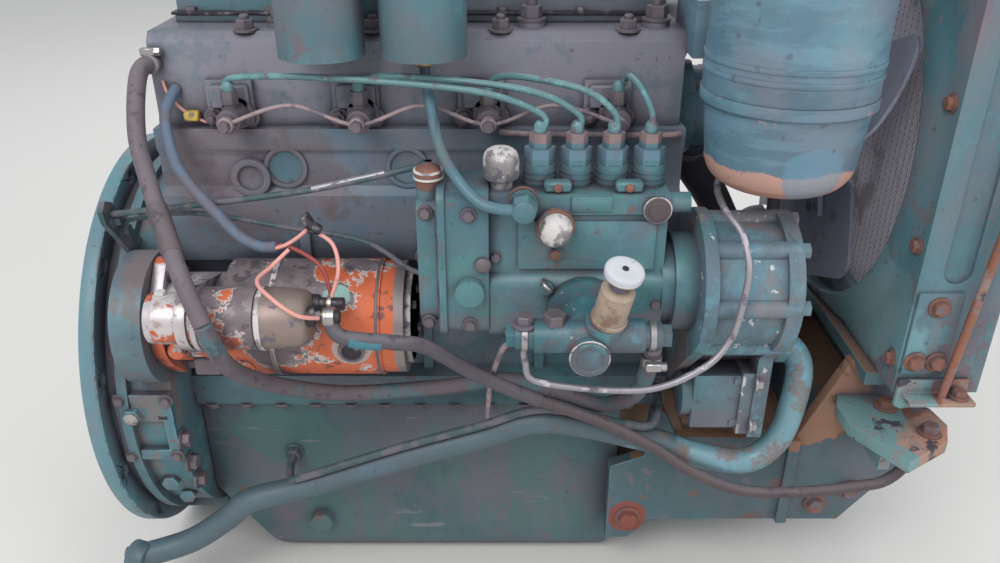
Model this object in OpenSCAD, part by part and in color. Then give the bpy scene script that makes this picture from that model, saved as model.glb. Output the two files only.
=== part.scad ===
// Front power unit of a vintage tractor: four-cylinder diesel engine with its fuel injection,
// starter, air cleaner, fan and radiator, on the casting that carries the front axle.
// X points forward along the crankshaft, Z up, and -Y is the tractor's right-hand side.
// The origin is on the crankshaft's axis, in the rear face that bolts to the gearbox.

/* [Cylinder block] */
// Distance from the gearbox flange to the block
bell_len = 79; // [74:1:90]
// Length of the block
block_len = 510; // [500:1:530]
// Half width of the block above the sump rail
block_half_w = 135; // [128:1:140]
// Height of the deck above the crankshaft
deck_z = 289; // [284:1:300]
// Distance between neighbouring cylinders
bore_pitch = 119; // [112:1:122]
// Thickness of the sump rail on the block
rail_t = 22; // [16:1:26]
// Half width of the sump rail
rail_half_w = 152; // [148:1:158]

/* [Head and covers] */
// Height of the cylinder head
head_h = 88; // [80:1:96]
// Half width of the cylinder head
head_half_w = 120; // [112:1:126]
// Height of the rocker cover
cover_h = 72; // [60:1:84]
// Half width of the rocker cover
cover_half_w = 68; // [60:1:78]
// Depth of the sump below the crankshaft
sump_depth = 245; // [232:1:252]
// Step in from the sump rail to the side of the pan
sump_inset = 12; // [8:1:20]
// Length of the timing case
case_len = 87; // [84:1:92]

/* [Gearbox flange and clutch] */
// Radius of the bell housing
bell_r = 210; // [208:1:214]
// Wall of the bell housing
bell_wall = 11; // [8:1:12]
// Radius of the gearbox flange
flange_r = 234; // [232:1:240]
// Thickness of the gearbox flange
flange_t = 16; // [12:1:20]
// Radius of the circle of flange bolts
flange_bolt_r = 222; // [221:0.5:223]
// Radius of a flange bolt hole
flange_hole_r = 6.5; // [5.5:0.5:7]
// Number of flange bolts
flange_bolts = 12; // [8:1:16]
// Radius of the starter ring gear over its teeth
ring_gear_r = 190; // [186:1:192]
// Number of teeth on the ring gear
ring_teeth = 112; // [90:1:120]

/* [Crankshaft, fan and belt] */
// Radius of the crankshaft
crank_r = 35; // [30:1:38]
// Radius of the crankshaft pulley
crank_pulley_r = 80; // [70:1:84]
// Radius of the fan pulley
fan_pulley_r = 60; // [54:1:64]
// Radius of the dynamo pulley
dynamo_pulley_r = 38; // [34:1:42]
// Depth of a belt groove
groove_depth = 11; // [9:1:12]
// Width of a belt groove
groove_w = 12; // [10:1:13]
// Height of the fan's axis above the crankshaft
fan_z = 275; // [270:1:282]
// Radius of the fan
fan_r = 194; // [186:1:196]
// Number of fan blades
fan_blade_count = 4; // [3:1:6]
// Width of a fan blade
fan_blade_w = 112; // [90:1:118]
// Pitch of a fan blade
fan_pitch = 26; // [20:1:28]
// Thickness of a fan blade
fan_blade_t = 3; // [2:0.5:4]
// Radius of a fan blade's curve
fan_blade_curve = 200; // [180:5:260]

/* [Radiator] */
// Half width of the radiator
rad_half_w = 240; // [232:1:246]
// Thickness of the radiator
rad_t = 79; // [70:1:86]
// Height of the core
core_h = 390; // [380:1:400]
// Height of the top tank
tank_h = 76; // [64:1:86]
// Radius of the fan opening in the shroud
shroud_r = 205; // [203:1:210]
// Depth of the shroud
shroud_depth = 15; // [14:1:20]

/* [Fuel injection] */
// Length of the injection pump
pump_len = 181; // [176:1:190]
// Distance of the pump's centre from the crankshaft's plane
pump_off = 208; // [206:1:214]
// Distance between neighbouring pump elements
element_pitch = 32; // [28:1:33]
// Bottom of the injection pump
pump_z0 = 122; // [118:1:126]
// Top of the injection pump
pump_z1 = 263; // [258:1:270]
// Half width of the pump's upper part
pump_half_w = 27; // [24:1:30]
// Length of the governor housing
governor_len = 63; // [56:1:68]
// Radius of an injection pipe
injection_pipe_r = 3; // [2.5:0.25:3.5]

/* [Starter and air cleaner] */
// Radius of the starter's yoke
starter_r = 57.5; // [54:0.5:59]
// Length of the starter
starter_len = 247; // [235:1:255]
// Distance of the starter from the crankshaft's plane
starter_off = 180; // [178:1:184]
// Height of the starter's axis
starter_z = 112; // [108:1:118]
// Radius of the starter's solenoid
solenoid_r = 28; // [25:0.5:30]
// Radius of the air cleaner
cleaner_r = 72; // [66:1:73]
// Top of the air cleaner's body
cleaner_top = 520; // [505:1:540]
// Bottom of the air cleaner's bowl
bowl_z0 = 266; // [262:1:272]
// Radius of the bowl's bottom edge
bowl_edge_r = 26; // [18:1:30]

/* [Front support] */
// Radius of the bore for the front axle's pivot pin
pivot_r = 25; // [20:1:28]
// Length of the bore for the pivot pin
pivot_len = 170; // [150:1:180]
// Wall of the front support
support_wall = 15; // [12:1:18]

/* [Suction pipe] */
// Radius of the suction pipe
suction_pipe_r = 13.5; // [12:0.5:14]
// Radius of the thin pipe above it
return_pipe_r = 4.5; // [3.5:0.5:5]

/* [Hidden] */
$fn = 40;

// Colours of the paint and metals
teal = [0.16, 0.42, 0.42];
dark_teal = [0.08, 0.30, 0.29];
blue_teal = [0.20, 0.44, 0.50];
grime = [0.25, 0.21, 0.22];
steel = [0.62, 0.62, 0.60];
rust = [0.42, 0.25, 0.18];
orange = [0.85, 0.33, 0.12];
black = [0.10, 0.10, 0.11];

// Running clearance of a shaft, and the gap between pieces that move past each other
fit = 0.05;
gap = 0.3;

// Places along the crankshaft
block_x0 = bell_len;
block_x1 = block_x0 + block_len;
mid_x = block_x0 + block_len / 2;
cyl_x = [for (i = [0:3]) mid_x + (i - 1.5) * bore_pitch];
case_x1 = block_x1 + case_len;
belt_x = case_x1 + 31;
fan_x = case_x1 + 90;
shroud_x = fan_x + 10;
rad_x0 = shroud_x + shroud_depth;
rad_x1 = rad_x0 + rad_t;
head_z1 = deck_z + head_h;
cover_z1 = head_z1 + cover_h;

// Radiator, bottom to top
rad_z0 = 61;
core_z0 = rad_z0 + 44;
core_z1 = core_z0 + core_h;
rad_z1 = core_z1 + tank_h;
rad_post_w = 35;
lower_outlet = [rad_x0 - 18, 130, rad_z0 + 22];
upper_inlet = [rad_x0 - 16, 0, core_z1 + 38];
thermostat_z = deck_z + 68;

// Crankshaft's ends, flywheel and clutch
flywheel_x0 = 34;
flywheel_x1 = 64;
bell_web_x = bell_len - 12;
// The bell housing's second rib, and the face of the frame round its hand hole
bell_rib_x0 = flange_t + 12;
bell_rib_x1 = flange_t + 22;
bell_rib_r = bell_r + 9;
hand_hole_y = -bell_r - 5;
crank_nose_x = belt_x + 22;

// Fan, with one blade turned down towards the right-hand side
fan_turn = 70;
fan_back = 33;

sump_half_w = rail_half_w - sump_inset;

// Front support
support_half = rail_half_w + support_wall;
support_floor_z = -165;
support_x0 = block_x1 - 55;
support_bend_x = rad_x0 + 9;
shelf_z0 = rad_z0 - support_wall;
pin_x1 = block_x1 + 231;
pin_z = support_floor_z - pivot_r - 2;

// Dynamo on the left-hand side
dynamo_y = 198;
dynamo_z = 215;
dynamo_r = 58;

// Injection pump
pump_x1 = block_x1 - 7;
pump_x0 = pump_x1 - pump_len;
pump_body_x1 = pump_x1 - 24;
pump_y = -pump_off;
pump_mid_z = 190;
element_x = [for (i = [0:3]) pump_x0 + 45 + i * element_pitch];
governor_x0 = pump_x0 - governor_len;
feed_x = pump_x0 + 86;
feed_y = pump_y - 82;
feed_z = 154;

// Injectors in the side of the head
injector_x = [for (x = cyl_x) x + 7];
injector_z = deck_z + 16;
injector_y = -head_half_w - 45;

hydraulic_y = pump_y + 30;

// Starter and solenoid
starter_y = -starter_off;
starter_x1 = block_x0 + starter_len;
solenoid_x0 = block_x0 + 58;
solenoid_y = starter_y - (starter_r + solenoid_r) * cos(28) - gap;
solenoid_z = starter_z + (starter_r + solenoid_r) * sin(28);

// Fuel filters
filter_x = [cyl_x[1] - 20, cyl_x[1] + 70];

// Air cleaner
cleaner_x = fan_x - fan_back - 7 - cleaner_r;
cleaner_y = -212;
cleaner_rim_z = 350;

// Shapes along the axes
module x_rod(r, x0, x1, y = 0, z = 0) translate([x0, y, z]) rotate([0, 90, 0]) cylinder(r = r, h = x1 - x0);
module y_rod(r, y0, y1, x = 0, z = 0) translate([x, y0, z]) rotate([-90, 0, 0]) cylinder(r = r, h = y1 - y0);
module z_rod(r, z0, z1, x = 0, y = 0) translate([x, y, z0]) cylinder(r = r, h = z1 - z0);
module block_of(low, high) translate(low) cube(high - low);
// A profile in Y and Z, drawn out along X
module along_x(x0, x1) translate([x0, 0, 0]) rotate([90, 0, 90]) linear_extrude(x1 - x0) children();
// A profile in X and Z, drawn out along Y
module along_y(y0, y1) translate([0, y1, 0]) rotate([90, 0, 0]) linear_extrude(y1 - y0) children();
module along_z(z0, z1) translate([0, 0, z0]) linear_extrude(z1 - z0) children();
// Hexagon heads, across flats, standing on a face
module hex_x(af, x0, x1, y, z) translate([x0, y, z]) rotate([0, 90, 0]) cylinder(r = af / sqrt(3), h = x1 - x0, $fn = 6);
module hex_y(af, y0, y1, x, z) translate([x, y0, z]) rotate([-90, 0, 0]) cylinder(r = af / sqrt(3), h = y1 - y0, $fn = 6);
module hex_z(af, z0, z1, x, y) translate([x, y, z0]) cylinder(r = af / sqrt(3), h = z1 - z0, $fn = 6);
// Rectangle with round corners between two corner points
module soft_rect(low, high, r) {
    translate([low.x + r, low.y]) square([high.x - low.x - 2 * r, high.y - low.y]);
    translate([low.x, low.y + r]) square([high.x - low.x, high.y - low.y - 2 * r]);
    for (x = [low.x + r, high.x - r], y = [low.y + r, high.y - r]) translate([x, y]) circle(r);
}

// A round tube swept along a smooth curve through the points of its route,
// leaving its first point along "from" and reaching its last along "to" where they are given
function unit(v) = v / norm(v);
function curve_point(p, i, t) =
    let (a = p[max(i - 1, 0)], b = p[i], c = p[i + 1], d = p[min(i + 2, len(p) - 1)])
    0.5 * (2 * b + (c - a) * t + (2 * a - 5 * b + 4 * c - d) * t * t + (3 * b - a - 3 * c + d) * t * t * t);
function smooth(p, n) = concat([for (i = [0:len(p) - 2]) for (k = [0:n - 1]) curve_point(p, i, k / n)], [p[len(p) - 1]]);
function heading(q, i) = unit(q[min(i + 1, len(q) - 1)] - q[max(i - 1, 0)]);
function across(v, t) = unit(v - (v * t) * t);
function frames(dirs, i, v, out) = i == len(dirs) ? out :
    let (w = across(v, dirs[i])) frames(dirs, i + 1, w, concat(out, [w]));
module tube(points, r, n = 2, sides = 8, from = undef, to = undef) {
    q = smooth(points, n);
    rings = len(q);
    dirs = [for (i = [0:rings - 1])
        i == 0 && from != undef ? from : i == rings - 1 && to != undef ? to : heading(q, i)];
    start = abs(dirs[0].z) < 0.8 ? [0, 0, 1] : [0, 1, 0];
    side = frames(dirs, 0, start, []);
    verts = [
        for (i = [0:rings - 1]) for (k = [0:sides - 1])
            let (a = k * 360 / sides, other = cross(dirs[i], side[i]))
            q[i] + r * (cos(a) * side[i] + sin(a) * other)
    ];
    faces = concat(
        [[for (k = [0:sides - 1]) k]],
        [[for (k = [sides - 1:-1:0]) (rings - 1) * sides + k]],
        [for (i = [0:rings - 2]) for (k = [0:sides - 1])
            [i * sides + k, (i + 1) * sides + k, (i + 1) * sides + (k + 1) % sides]],
        [for (i = [0:rings - 2]) for (k = [0:sides - 1])
            [i * sides + k, (i + 1) * sides + (k + 1) % sides, i * sides + (k + 1) % sides]]
    );
    polyhedron(points = verts, faces = faces, convexity = 6);
}

module block() color(teal) difference() {
    ledge_z = 222;
    waist = block_half_w - 8;
    union() {
        along_x(block_x0, block_x1) polygon([
            [-rail_half_w, 0], [-rail_half_w, rail_t], [-block_half_w, rail_t + 6],
            [-block_half_w, ledge_z], [-waist, ledge_z + 8], [-waist, deck_z - 26],
            [-block_half_w + 4, deck_z - 20], [-block_half_w + 4, deck_z],
            [block_half_w - 4, deck_z], [block_half_w - 4, deck_z - 20],
            [waist, deck_z - 26], [waist, ledge_z + 8], [block_half_w, ledge_z],
            [block_half_w, rail_t + 6], [rail_half_w, rail_t], [rail_half_w, 0]
        ]);
        // Vertical ribs over the main bearings
        for (i = [0:2]) for (s = [-1, 1])
            block_of([cyl_x[i] + bore_pitch / 2 - 5, s > 0 ? block_half_w - 2 : -block_half_w - 6, rail_t],
                     [cyl_x[i] + bore_pitch / 2 + 5, s > 0 ? block_half_w + 6 : -block_half_w + 2, ledge_z - 30]);
        // Core plug collars
        for (x = [cyl_x[0] + 46, cyl_x[1] + 46]) for (s = [-1, 1])
            y_rod(21, s > 0 ? waist - 2 : -waist - 4, s > 0 ? waist + 4 : -waist + 2, x, 250);
        y_rod(19, -waist - 9, -waist + 2, cyl_x[0] + 12, 241);
    }
    for (x = [cyl_x[0] + 46, cyl_x[1] + 46]) for (s = [-1, 1])
        y_rod(17, s > 0 ? waist + 1 : -waist - 5, s > 0 ? waist + 5 : -waist - 1, x, 250);
    y_rod(13, -waist - 10, -waist - 5, cyl_x[0] + 12, 241);
    // Pocket beside the starter
    x_rod(starter_r + 3, block_x0 - 1, starter_x1 + 4, starter_y, starter_z);
    // Main bearing line
    x_rod(crank_r + fit, block_x0 - 1, block_x1 + 1);
}

module head() color(teal) {
    x0 = block_x0 + 4;
    x1 = block_x1 - 5;
    along_x(x0, x1) polygon([
        [-head_half_w, deck_z], [-head_half_w, head_z1 - 8], [-head_half_w + 8, head_z1],
        [head_half_w - 8, head_z1], [head_half_w, head_z1 - 8], [head_half_w, deck_z]
    ]);
    // Bolt bosses and injector pads along the right-hand side
    for (x = cyl_x) {
        block_of([x - 22, -head_half_w - 7, deck_z], [x + 22, -head_half_w + 2, deck_z + 46]);
        z_rod(13, head_z1 - 2, head_z1 + 6, x + bore_pitch / 2 - 12, -head_half_w + 34);
        z_rod(13, head_z1 - 2, head_z1 + 6, x + bore_pitch / 2 - 12, head_half_w - 34);
    }
    // Thermostat housing on the front end
    x_rod(30, x1 - 2, x1 + 22, 0, thermostat_z);
    x_rod(24, x1 + 20, x1 + 50, 0, thermostat_z);
}

module rocker_cover() color(teal) {
    x0 = block_x0 + 16;
    x1 = block_x1 - 16;
    along_x(x0, x1) {
        translate([-cover_half_w, head_z1]) square([2 * cover_half_w, 8]);
        difference() {
            translate([-cover_half_w + 8, head_z1]) square([2 * cover_half_w - 16, cover_h]);
            for (s = [-1, 1]) translate([s * (cover_half_w - 8), cover_z1]) rotate(45) square(44, center = true);
        }
    }
    for (x = [cyl_x[0], mid_x, cyl_x[3]]) hex_z(19, cover_z1, cover_z1 + 10, x, 0);
}

module oil_filler() color(rust) {
    x = cyl_x[0] + bore_pitch / 2;
    z_rod(20, cover_z1, cover_z1 + 16, x, 0);
    z_rod(26, cover_z1 + 16, cover_z1 + 30, x, 0);
}

module sump() color(dark_teal) {
    x0 = block_x0 + 1;
    x1 = block_x1 - 44;
    side = [
        [x0, 0], [x0, -sump_depth + 108], [x0 + 38, -sump_depth + 54], [x0 + 62, -sump_depth + 20],
        [x0 + 88, -sump_depth], [x1 - 24, -sump_depth], [x1 - 8, -sump_depth + 14], [x1, -sump_depth + 36], [x1, 0]
    ];
    difference() {
        union() {
            intersection() {
                along_y(-rail_half_w, rail_half_w) polygon(side);
                along_x(x0 - 1, x1 + 1) {
                    translate([-rail_half_w, -14]) square([2 * rail_half_w, 14]);
                    soft_rect([-sump_half_w, -sump_depth - 1], [sump_half_w, 20], 34);
                }
            }
            // Front stretch of the rail, under the end of the block
            block_of([x1 - 1, -rail_half_w, -14], [block_x1, rail_half_w, 0]);
            // Drain plug
            hex_y(24, -sump_half_w - 12, -sump_half_w + 2, x0 + 120, -sump_depth + 60);
        }
        // Flat top under the block, and room for the crankshaft
        block_of([x0 - 1, -rail_half_w, 0], [block_x1 + 1, rail_half_w, 30]);
        x_rod(crank_r + gap, x0 - 1, block_x1 + 1);
    }
}

module bell_housing() color(teal) difference() {
    union() {
        x_rod(bell_r, flange_t, bell_len, $fn = 96);
        // Second rib, behind the joint
        x_rod(bell_rib_r, bell_rib_x0, bell_rib_x1, $fn = 96);
        // Pad for the starter
        x_rod(66, bell_len - 30, bell_len - 0.5, starter_y, starter_z);
        // Lengthwise ribs on the outside
        for (a = [150, 174, 198, 222]) rotate([a, 0, 0])
            block_of([flange_t, -6, bell_r - 4], [bell_len, 6, bell_r + 12]);
    }
    x_rod(bell_r - bell_wall, flange_t - 1, bell_web_x, $fn = 96);
    x_rod(crank_r + 4, bell_web_x - 1, bell_len + 1);
    // Pocket for the starter's pinion
    x_rod(30, bell_len - 26, bell_len + 1, starter_y, starter_z);
}

// Flange that bolts to the gearbox
module bell_flange() color(teal) difference() {
    x_rod(flange_r, 0, flange_t, $fn = 96);
    x_rod(bell_r - bell_wall, -1, flange_t + 1, $fn = 96);
    for (i = [0:flange_bolts - 1]) rotate([(i + 0.5) * 360 / flange_bolts, 0, 0])
        x_rod(flange_hole_r, -1, flange_t + 1, 0, flange_bolt_r);
}

// Frame round the hand hole on the bell housing's right-hand side, and bolt heads
module bell_frame() color(teal) difference() {
    union() {
        block_of([flange_t + 6, hand_hole_y, -40], [bell_len, -bell_r + 30, 40]);
        hex_y(16, hand_hole_y - 9, hand_hole_y + 1, 41, 18);
        hex_y(16, -200, -180, 54, -86);
        hex_y(16, -182, -160, 62, -119);
    }
    // The hand hole, open down to the bell
    block_of([flange_t + 17, hand_hole_y - 1, -28], [bell_len - 10, -bell_r + 6, 8]);
    x_rod(bell_r + gap, 0, bell_len + 1, $fn = 240);
    x_rod(bell_rib_r + gap, bell_rib_x0 - gap, bell_rib_x1 + gap, $fn = 240);
}

// Outline round the crankshaft, idler and pump gears
module gear_outline(grow) hull() {
    circle(80 + grow);
    translate([-95, 95]) circle(74 + grow);
    translate([pump_y, 166]) circle(61 + grow);
}

// Bolts of the timing case, in Y and Z
case_bolts = [[-78, -35], [-239, 113], [pump_y - 59, 168], [pump_y - 36, 213], [pump_y + 6, 225], [-100, 168]];

module timing_case() color(teal) difference() {
    union() {
        along_x(block_x1, block_x1 + 12) gear_outline(8);
        along_x(block_x1 + 11, case_x1 - 14) gear_outline(0);
        along_x(case_x1 - 14, case_x1) {
            gear_outline(6);
            // Lug that the hydraulic pump is bolted to
            translate([hydraulic_y - 44, -6]) square([100, 100]);
        }
        x_rod(18, case_x1 - 1, case_x1 + 14, hydraulic_y, 78);
        // Nose round the pump's gear
        x_rod(34, case_x1 - 1, case_x1 + 8, pump_y, 166);
        // Bolt columns round the edge, with their heads in front
        for (p = case_bolts) {
            x_rod(9, block_x1 + 8, case_x1 - 2, p.x, p.y);
            hex_x(13, case_x1 - 1, case_x1 + 7, p.x, p.y);
        }
    }
    x_rod(crank_r + fit, block_x1 - 1, case_x1 + 1);
}

module pivot_boss() {
    x_rod(pivot_r + 20, pin_x1 - pivot_len, pin_x1, 0, pin_z);
    block_of([pin_x1 - pivot_len, -pivot_r - 20, pin_z], [pin_x1, pivot_r + 20, support_floor_z + 1]);
}

// Floor of the front support, with the boss for the front axle's pivot pin
module front_support() color(dark_teal) difference() {
    union() {
        along_y(-rail_half_w, rail_half_w) polygon([
            [block_x1 - 43, support_floor_z], [support_bend_x, support_floor_z],
            [support_bend_x - 7, support_floor_z + support_wall], [block_x1 - 43, support_floor_z + support_wall]
        ]);
        pivot_boss();
    }
    x_rod(pivot_r, pin_x1 - pivot_len - 1, pin_x1 + 1, 0, pin_z);
}

// Slope at the front of the floor
module support_slope() color(dark_teal) difference() {
    along_y(-rail_half_w, rail_half_w) polygon([
        [support_bend_x, support_floor_z], [rad_x1, -70], [rad_x1 - support_wall, -65],
        [support_bend_x - 7, support_floor_z + support_wall]
    ]);
    pivot_boss();
}

module support_front() color(dark_teal) along_y(-rail_half_w, rail_half_w) polygon([
    [rad_x1 - support_wall, -65], [rad_x1, -70], [rad_x1, shelf_z0], [rad_x1 - support_wall, shelf_z0]
]);

// Shelf that the radiator stands on
module radiator_shelf() color(dark_teal)
    block_of([rad_x0 - 14, -support_half - 38, shelf_z0], [rad_x1, support_half + 38, rad_z0]);

// Side walls of the front support, each with its foot at the rear
module support_sides() color(dark_teal) {
    for (s = [-1, 1]) {
        y0 = s > 0 ? support_half - support_wall : -support_half;
        along_y(y0, y0 + support_wall) polygon([
            [support_x0, support_floor_z - 28], [support_x0 + 24, support_floor_z - 28],
            [support_x0 + 38, support_floor_z - 16], [support_x0 + 46, support_floor_z],
            [support_bend_x, support_floor_z], [rad_x1, -70], [rad_x1, shelf_z0], [rad_x0 - 14, shelf_z0],
            [rad_x0 - 34, 0], [rad_x0 - 56, -48], [block_x1 + 15, -48], [block_x1, -14],
            [block_x1 - 14, -14], [block_x1 - 18, -74], [support_x0, -88]
        ]);
        // Bolt through the foot
        hex_y(20, s > 0 ? support_half : -support_half - 9, s > 0 ? support_half + 9 : -support_half,
              support_x0 + 24, support_floor_z + 4);
        // Upright rib
        block_of([block_x1 + 138, s > 0 ? support_half : -support_half - 7, support_floor_z],
                 [block_x1 + 150, s > 0 ? support_half + 7 : -support_half, -48]);
    }
}

// Brackets beside and below the radiator, with the stay rods of the bodywork
module side_brackets() color(rust) for (s = [-1, 1]) {
    side = s * support_half;
    face = s * rad_half_w;
    lean = 5.3;
    // Shelf plate with its web
    along_z(-4, 10) polygon([
        [rad_x0 - 21, side], [rad_x0 + 24, side], [rad_x0 + 66, side + s * 27], [rad_x0 + 71, side + s * 56],
        [rad_x0 + 59, side + s * 83], [rad_x0 + 9, side + s * 115], [rad_x0 - 27, side + s * 55],
        [rad_x0 - 29, side + s * 23]
    ]);
    block_of([rad_x0 + 9, min(side, side + s * 60), -44], [rad_x0 + 21, max(side, side + s * 60), -3]);
    // Angle below the radiator's corner
    along_y(min(face, face + s * 4), max(face, face + s * 4)) polygon([
        [rad_x0, 78], [rad_x0, 48], [rad_x0 + 8, 44], [rad_x0 + 67, 58], [rad_x0 + 67, 78]
    ]);
    block_of([rad_x0 + 4, min(face, face + s * 24), 60], [rad_x0 + 67, max(face, face + s * 24), 64]);
    // Stay rod and its clip
    translate([rad_x0 + 38, face + s * 13, 63]) rotate([0, lean, 0]) cylinder(r = 4, h = 360);
    block_of([rad_x0 + 62, min(face, face + s * 20), 408], [rad_x0 + 78, max(face, face + s * 20), 424]);
}

module crankshaft() color(steel) {
    x_rod(crank_r, flywheel_x1, crank_nose_x);
}

module flywheel() color(grime) difference() {
    union() {
        x_rod(ring_gear_r - 14, flywheel_x0, flywheel_x1, $fn = 96);
        x_rod(ring_gear_r - 10, flywheel_x0, flywheel_x1 - 16, $fn = 96);
    }
    x_rod(16, flywheel_x0 - 1, flywheel_x1 + 1);
    // Hollow round the crankshaft's flange
    difference() {
        x_rod(120, flywheel_x1 - 8, flywheel_x1 + 1, $fn = 96);
        x_rod(crank_r + 15, flywheel_x1 - 9, flywheel_x1 + 2);
    }
}

module ring_gear() color(steel) difference() {
    x_rod(ring_gear_r, flywheel_x1 - 16, flywheel_x1 - 2, $fn = 96);
    x_rod(ring_gear_r - 14, flywheel_x1 - 17, flywheel_x1 - 1, $fn = 96);
    tooth_gap = 180 * ring_gear_r / ring_teeth / 60;
    for (i = [0:ring_teeth - 1]) rotate([i * 360 / ring_teeth, 0, 0])
        block_of([flywheel_x1 - 17, -tooth_gap / 2, ring_gear_r - 5], [flywheel_x1 - 1, tooth_gap / 2, ring_gear_r + 1]);
}

module clutch_cover() color(grime) {
    difference() {
        union() {
            x_rod(150, flywheel_x0 - 8, flywheel_x0, $fn = 96);
            x_rod(128, flywheel_x0 - 24, flywheel_x0 - 7, $fn = 96);
        }
        x_rod(62, flywheel_x0 - 25, flywheel_x0 - 14, $fn = 64);
        x_rod(14.3, 5, flywheel_x0 + 1);
    }
    difference() {
        x_rod(26, 6, flywheel_x0 - 13);
        x_rod(14.3, 5, flywheel_x0 + 1);
    }
}

// Disc with one belt groove about the X axis
module pulley(r, x0, x1) difference() {
    x_rod(r, x0, x1, $fn = 64);
    difference() {
        x_rod(r + 1, belt_x - groove_w / 2, belt_x + groove_w / 2, $fn = 64);
        x_rod(r - groove_depth, belt_x - groove_w, belt_x + groove_w, $fn = 64);
    }
}

module crank_pulley() color(grime) difference() {
    pulley(crank_pulley_r, belt_x - 14, belt_x + 10);
    x_rod(crank_r, belt_x - 15, crank_nose_x + 1);
    difference() {
        x_rod(crank_pulley_r - groove_depth - 8, belt_x + 4, belt_x + 11, $fn = 64);
        x_rod(crank_r + 12, belt_x + 3, belt_x + 12);
    }
}

module water_pump() color(blue_teal) difference() {
    union() {
        x_rod(50, block_x1, block_x1 + 26, 0, fan_z);
        x_rod(42, block_x1 + 25, block_x1 + 62, 0, fan_z);
        x_rod(26, block_x1 + 61, belt_x - 22, 0, fan_z);
        // Inlet from the lower hose
        translate([block_x1 + 44, 30, fan_z - 30]) rotate([-150, 0, 0]) cylinder(r = 19, h = 26);
    }
    x_rod(14 + fit, block_x1 - 1, belt_x, 0, fan_z);
}

module fan_hub() color(grime) translate([0, 0, fan_z]) {
    difference() {
        pulley(fan_pulley_r, belt_x - 12, belt_x + 10);
        x_rod(fan_pulley_r - groove_depth - 8, belt_x + 3, belt_x + 11, $fn = 64);
    }
    x_rod(14, block_x1 + 8, belt_x);
    x_rod(30, belt_x, fan_x - 8);
    hex_x(24, fan_x - 1, fan_x + 8, 0, 0);
    for (a = [0:90:270]) rotate([a, 0, 0]) hex_x(10, fan_x - 1, fan_x + 4, 0, 22);
}

module fan_blade() {
    seen_w = fan_blade_w * cos(fan_pitch);
    tip = sqrt(fan_r * fan_r - seen_w * seen_w / 4);
    intersection() {
        rotate([0, 0, 90 - fan_pitch]) translate([0, fan_blade_curve, 0]) difference() {
            z_rod(fan_blade_curve + fan_blade_t / 2, 60, fan_r, $fn = 96);
            z_rod(fan_blade_curve - fan_blade_t / 2, 59, fan_r + 1, $fn = 96);
        }
        // Outline of the blade, seen along the shaft
        along_x(-40, 40) soft_rect([-seen_w / 2, 78], [seen_w / 2, tip], 22);
    }
}

module fan_blades() color(black) translate([fan_x, 0, fan_z]) {
    for (i = [0:fan_blade_count - 1]) rotate([i * 360 / fan_blade_count + fan_turn, 0, 0]) {
        fan_blade();
        // Arm of the spider
        block_of([-7, -17, 30], [-2, 17, 120]);
    }
    x_rod(40, -8, -1);
}

module fan_belt() color(black) {
    wheels = [[0, 0, crank_pulley_r], [0, fan_z, fan_pulley_r], [dynamo_y, dynamo_z, dynamo_pulley_r]];
    along_x(belt_x - groove_w / 2 + gap, belt_x + groove_w / 2 - gap) difference() {
        hull() for (w = wheels) translate([w[0], w[1]]) circle(w[2] + 1);
        hull() for (w = wheels) translate([w[0], w[1]]) circle(w[2] - groove_depth + gap);
    }
}

module dynamo() color(grime) difference() {
    union() {
        x_rod(dynamo_r, belt_x - 190, belt_x - 22, dynamo_y, dynamo_z);
        x_rod(dynamo_r - 12, belt_x - 196, belt_x - 189, dynamo_y, dynamo_z);
        // Bracket to the block
        block_of([belt_x - 170, block_half_w, dynamo_z - 72], [belt_x - 120, dynamo_y, dynamo_z - 50]);
    }
    x_rod(9 + fit, belt_x - 197, belt_x, dynamo_y, dynamo_z);
}

module dynamo_pulley() color(grime) translate([0, dynamo_y, dynamo_z]) {
    pulley(dynamo_pulley_r, belt_x - 12, belt_x + 12);
    x_rod(9, belt_x - 188, belt_x + 20);
    hex_x(20, belt_x + 11, belt_x + 18, 0, 0);
}

module radiator_core() color(grime) block_of(
    [rad_x0 + 10, -rad_half_w + rad_post_w, core_z0], [rad_x1 - 10, rad_half_w - rad_post_w, core_z1]);

module radiator_tanks() color(teal) {
    block_of([rad_x0, -rad_half_w, rad_z0], [rad_x1, rad_half_w, core_z0]);
    for (s = [-1, 1]) {
        difference() {
            block_of([rad_x0, s > 0 ? rad_half_w - rad_post_w : -rad_half_w, core_z0 - 1],
                     [rad_x1, s > 0 ? rad_half_w : -rad_half_w + rad_post_w, core_z1 + 1]);
            // Slot pressed into the side
            along_y(s > 0 ? rad_half_w - 4 : -rad_half_w - 1, s > 0 ? rad_half_w + 1 : -rad_half_w + 4)
                soft_rect([rad_x0 + 18, core_z0 + 73], [rad_x0 + 44, core_z1 - 24], 12.5);
        }
        // Foot plate
        block_of([rad_x0, s > 0 ? rad_half_w - 1 : -rad_half_w - 3, 84],
                 [rad_x0 + 40, s > 0 ? rad_half_w + 3 : -rad_half_w + 1, 170]);
    }
    along_y(-rad_half_w, rad_half_w) soft_rect([rad_x0, core_z1], [rad_x1, rad_z1], 14);
    x_rod(21, upper_inlet.x, rad_x0 + 2, upper_inlet.y, upper_inlet.z);
    z_rod(26, rad_z1 - 3, rad_z1 + 10, (rad_x0 + rad_x1) / 2, 0);
    x_rod(21, lower_outlet.x, rad_x0 + 2, lower_outlet.y, lower_outlet.z);
}

module radiator_cap() color(steel) {
    x = (rad_x0 + rad_x1) / 2;
    z_rod(31, rad_z1 + 10, rad_z1 + 20, x, 0);
    z_rod(20, rad_z1 + 19, rad_z1 + 26, x, 0);
}

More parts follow.
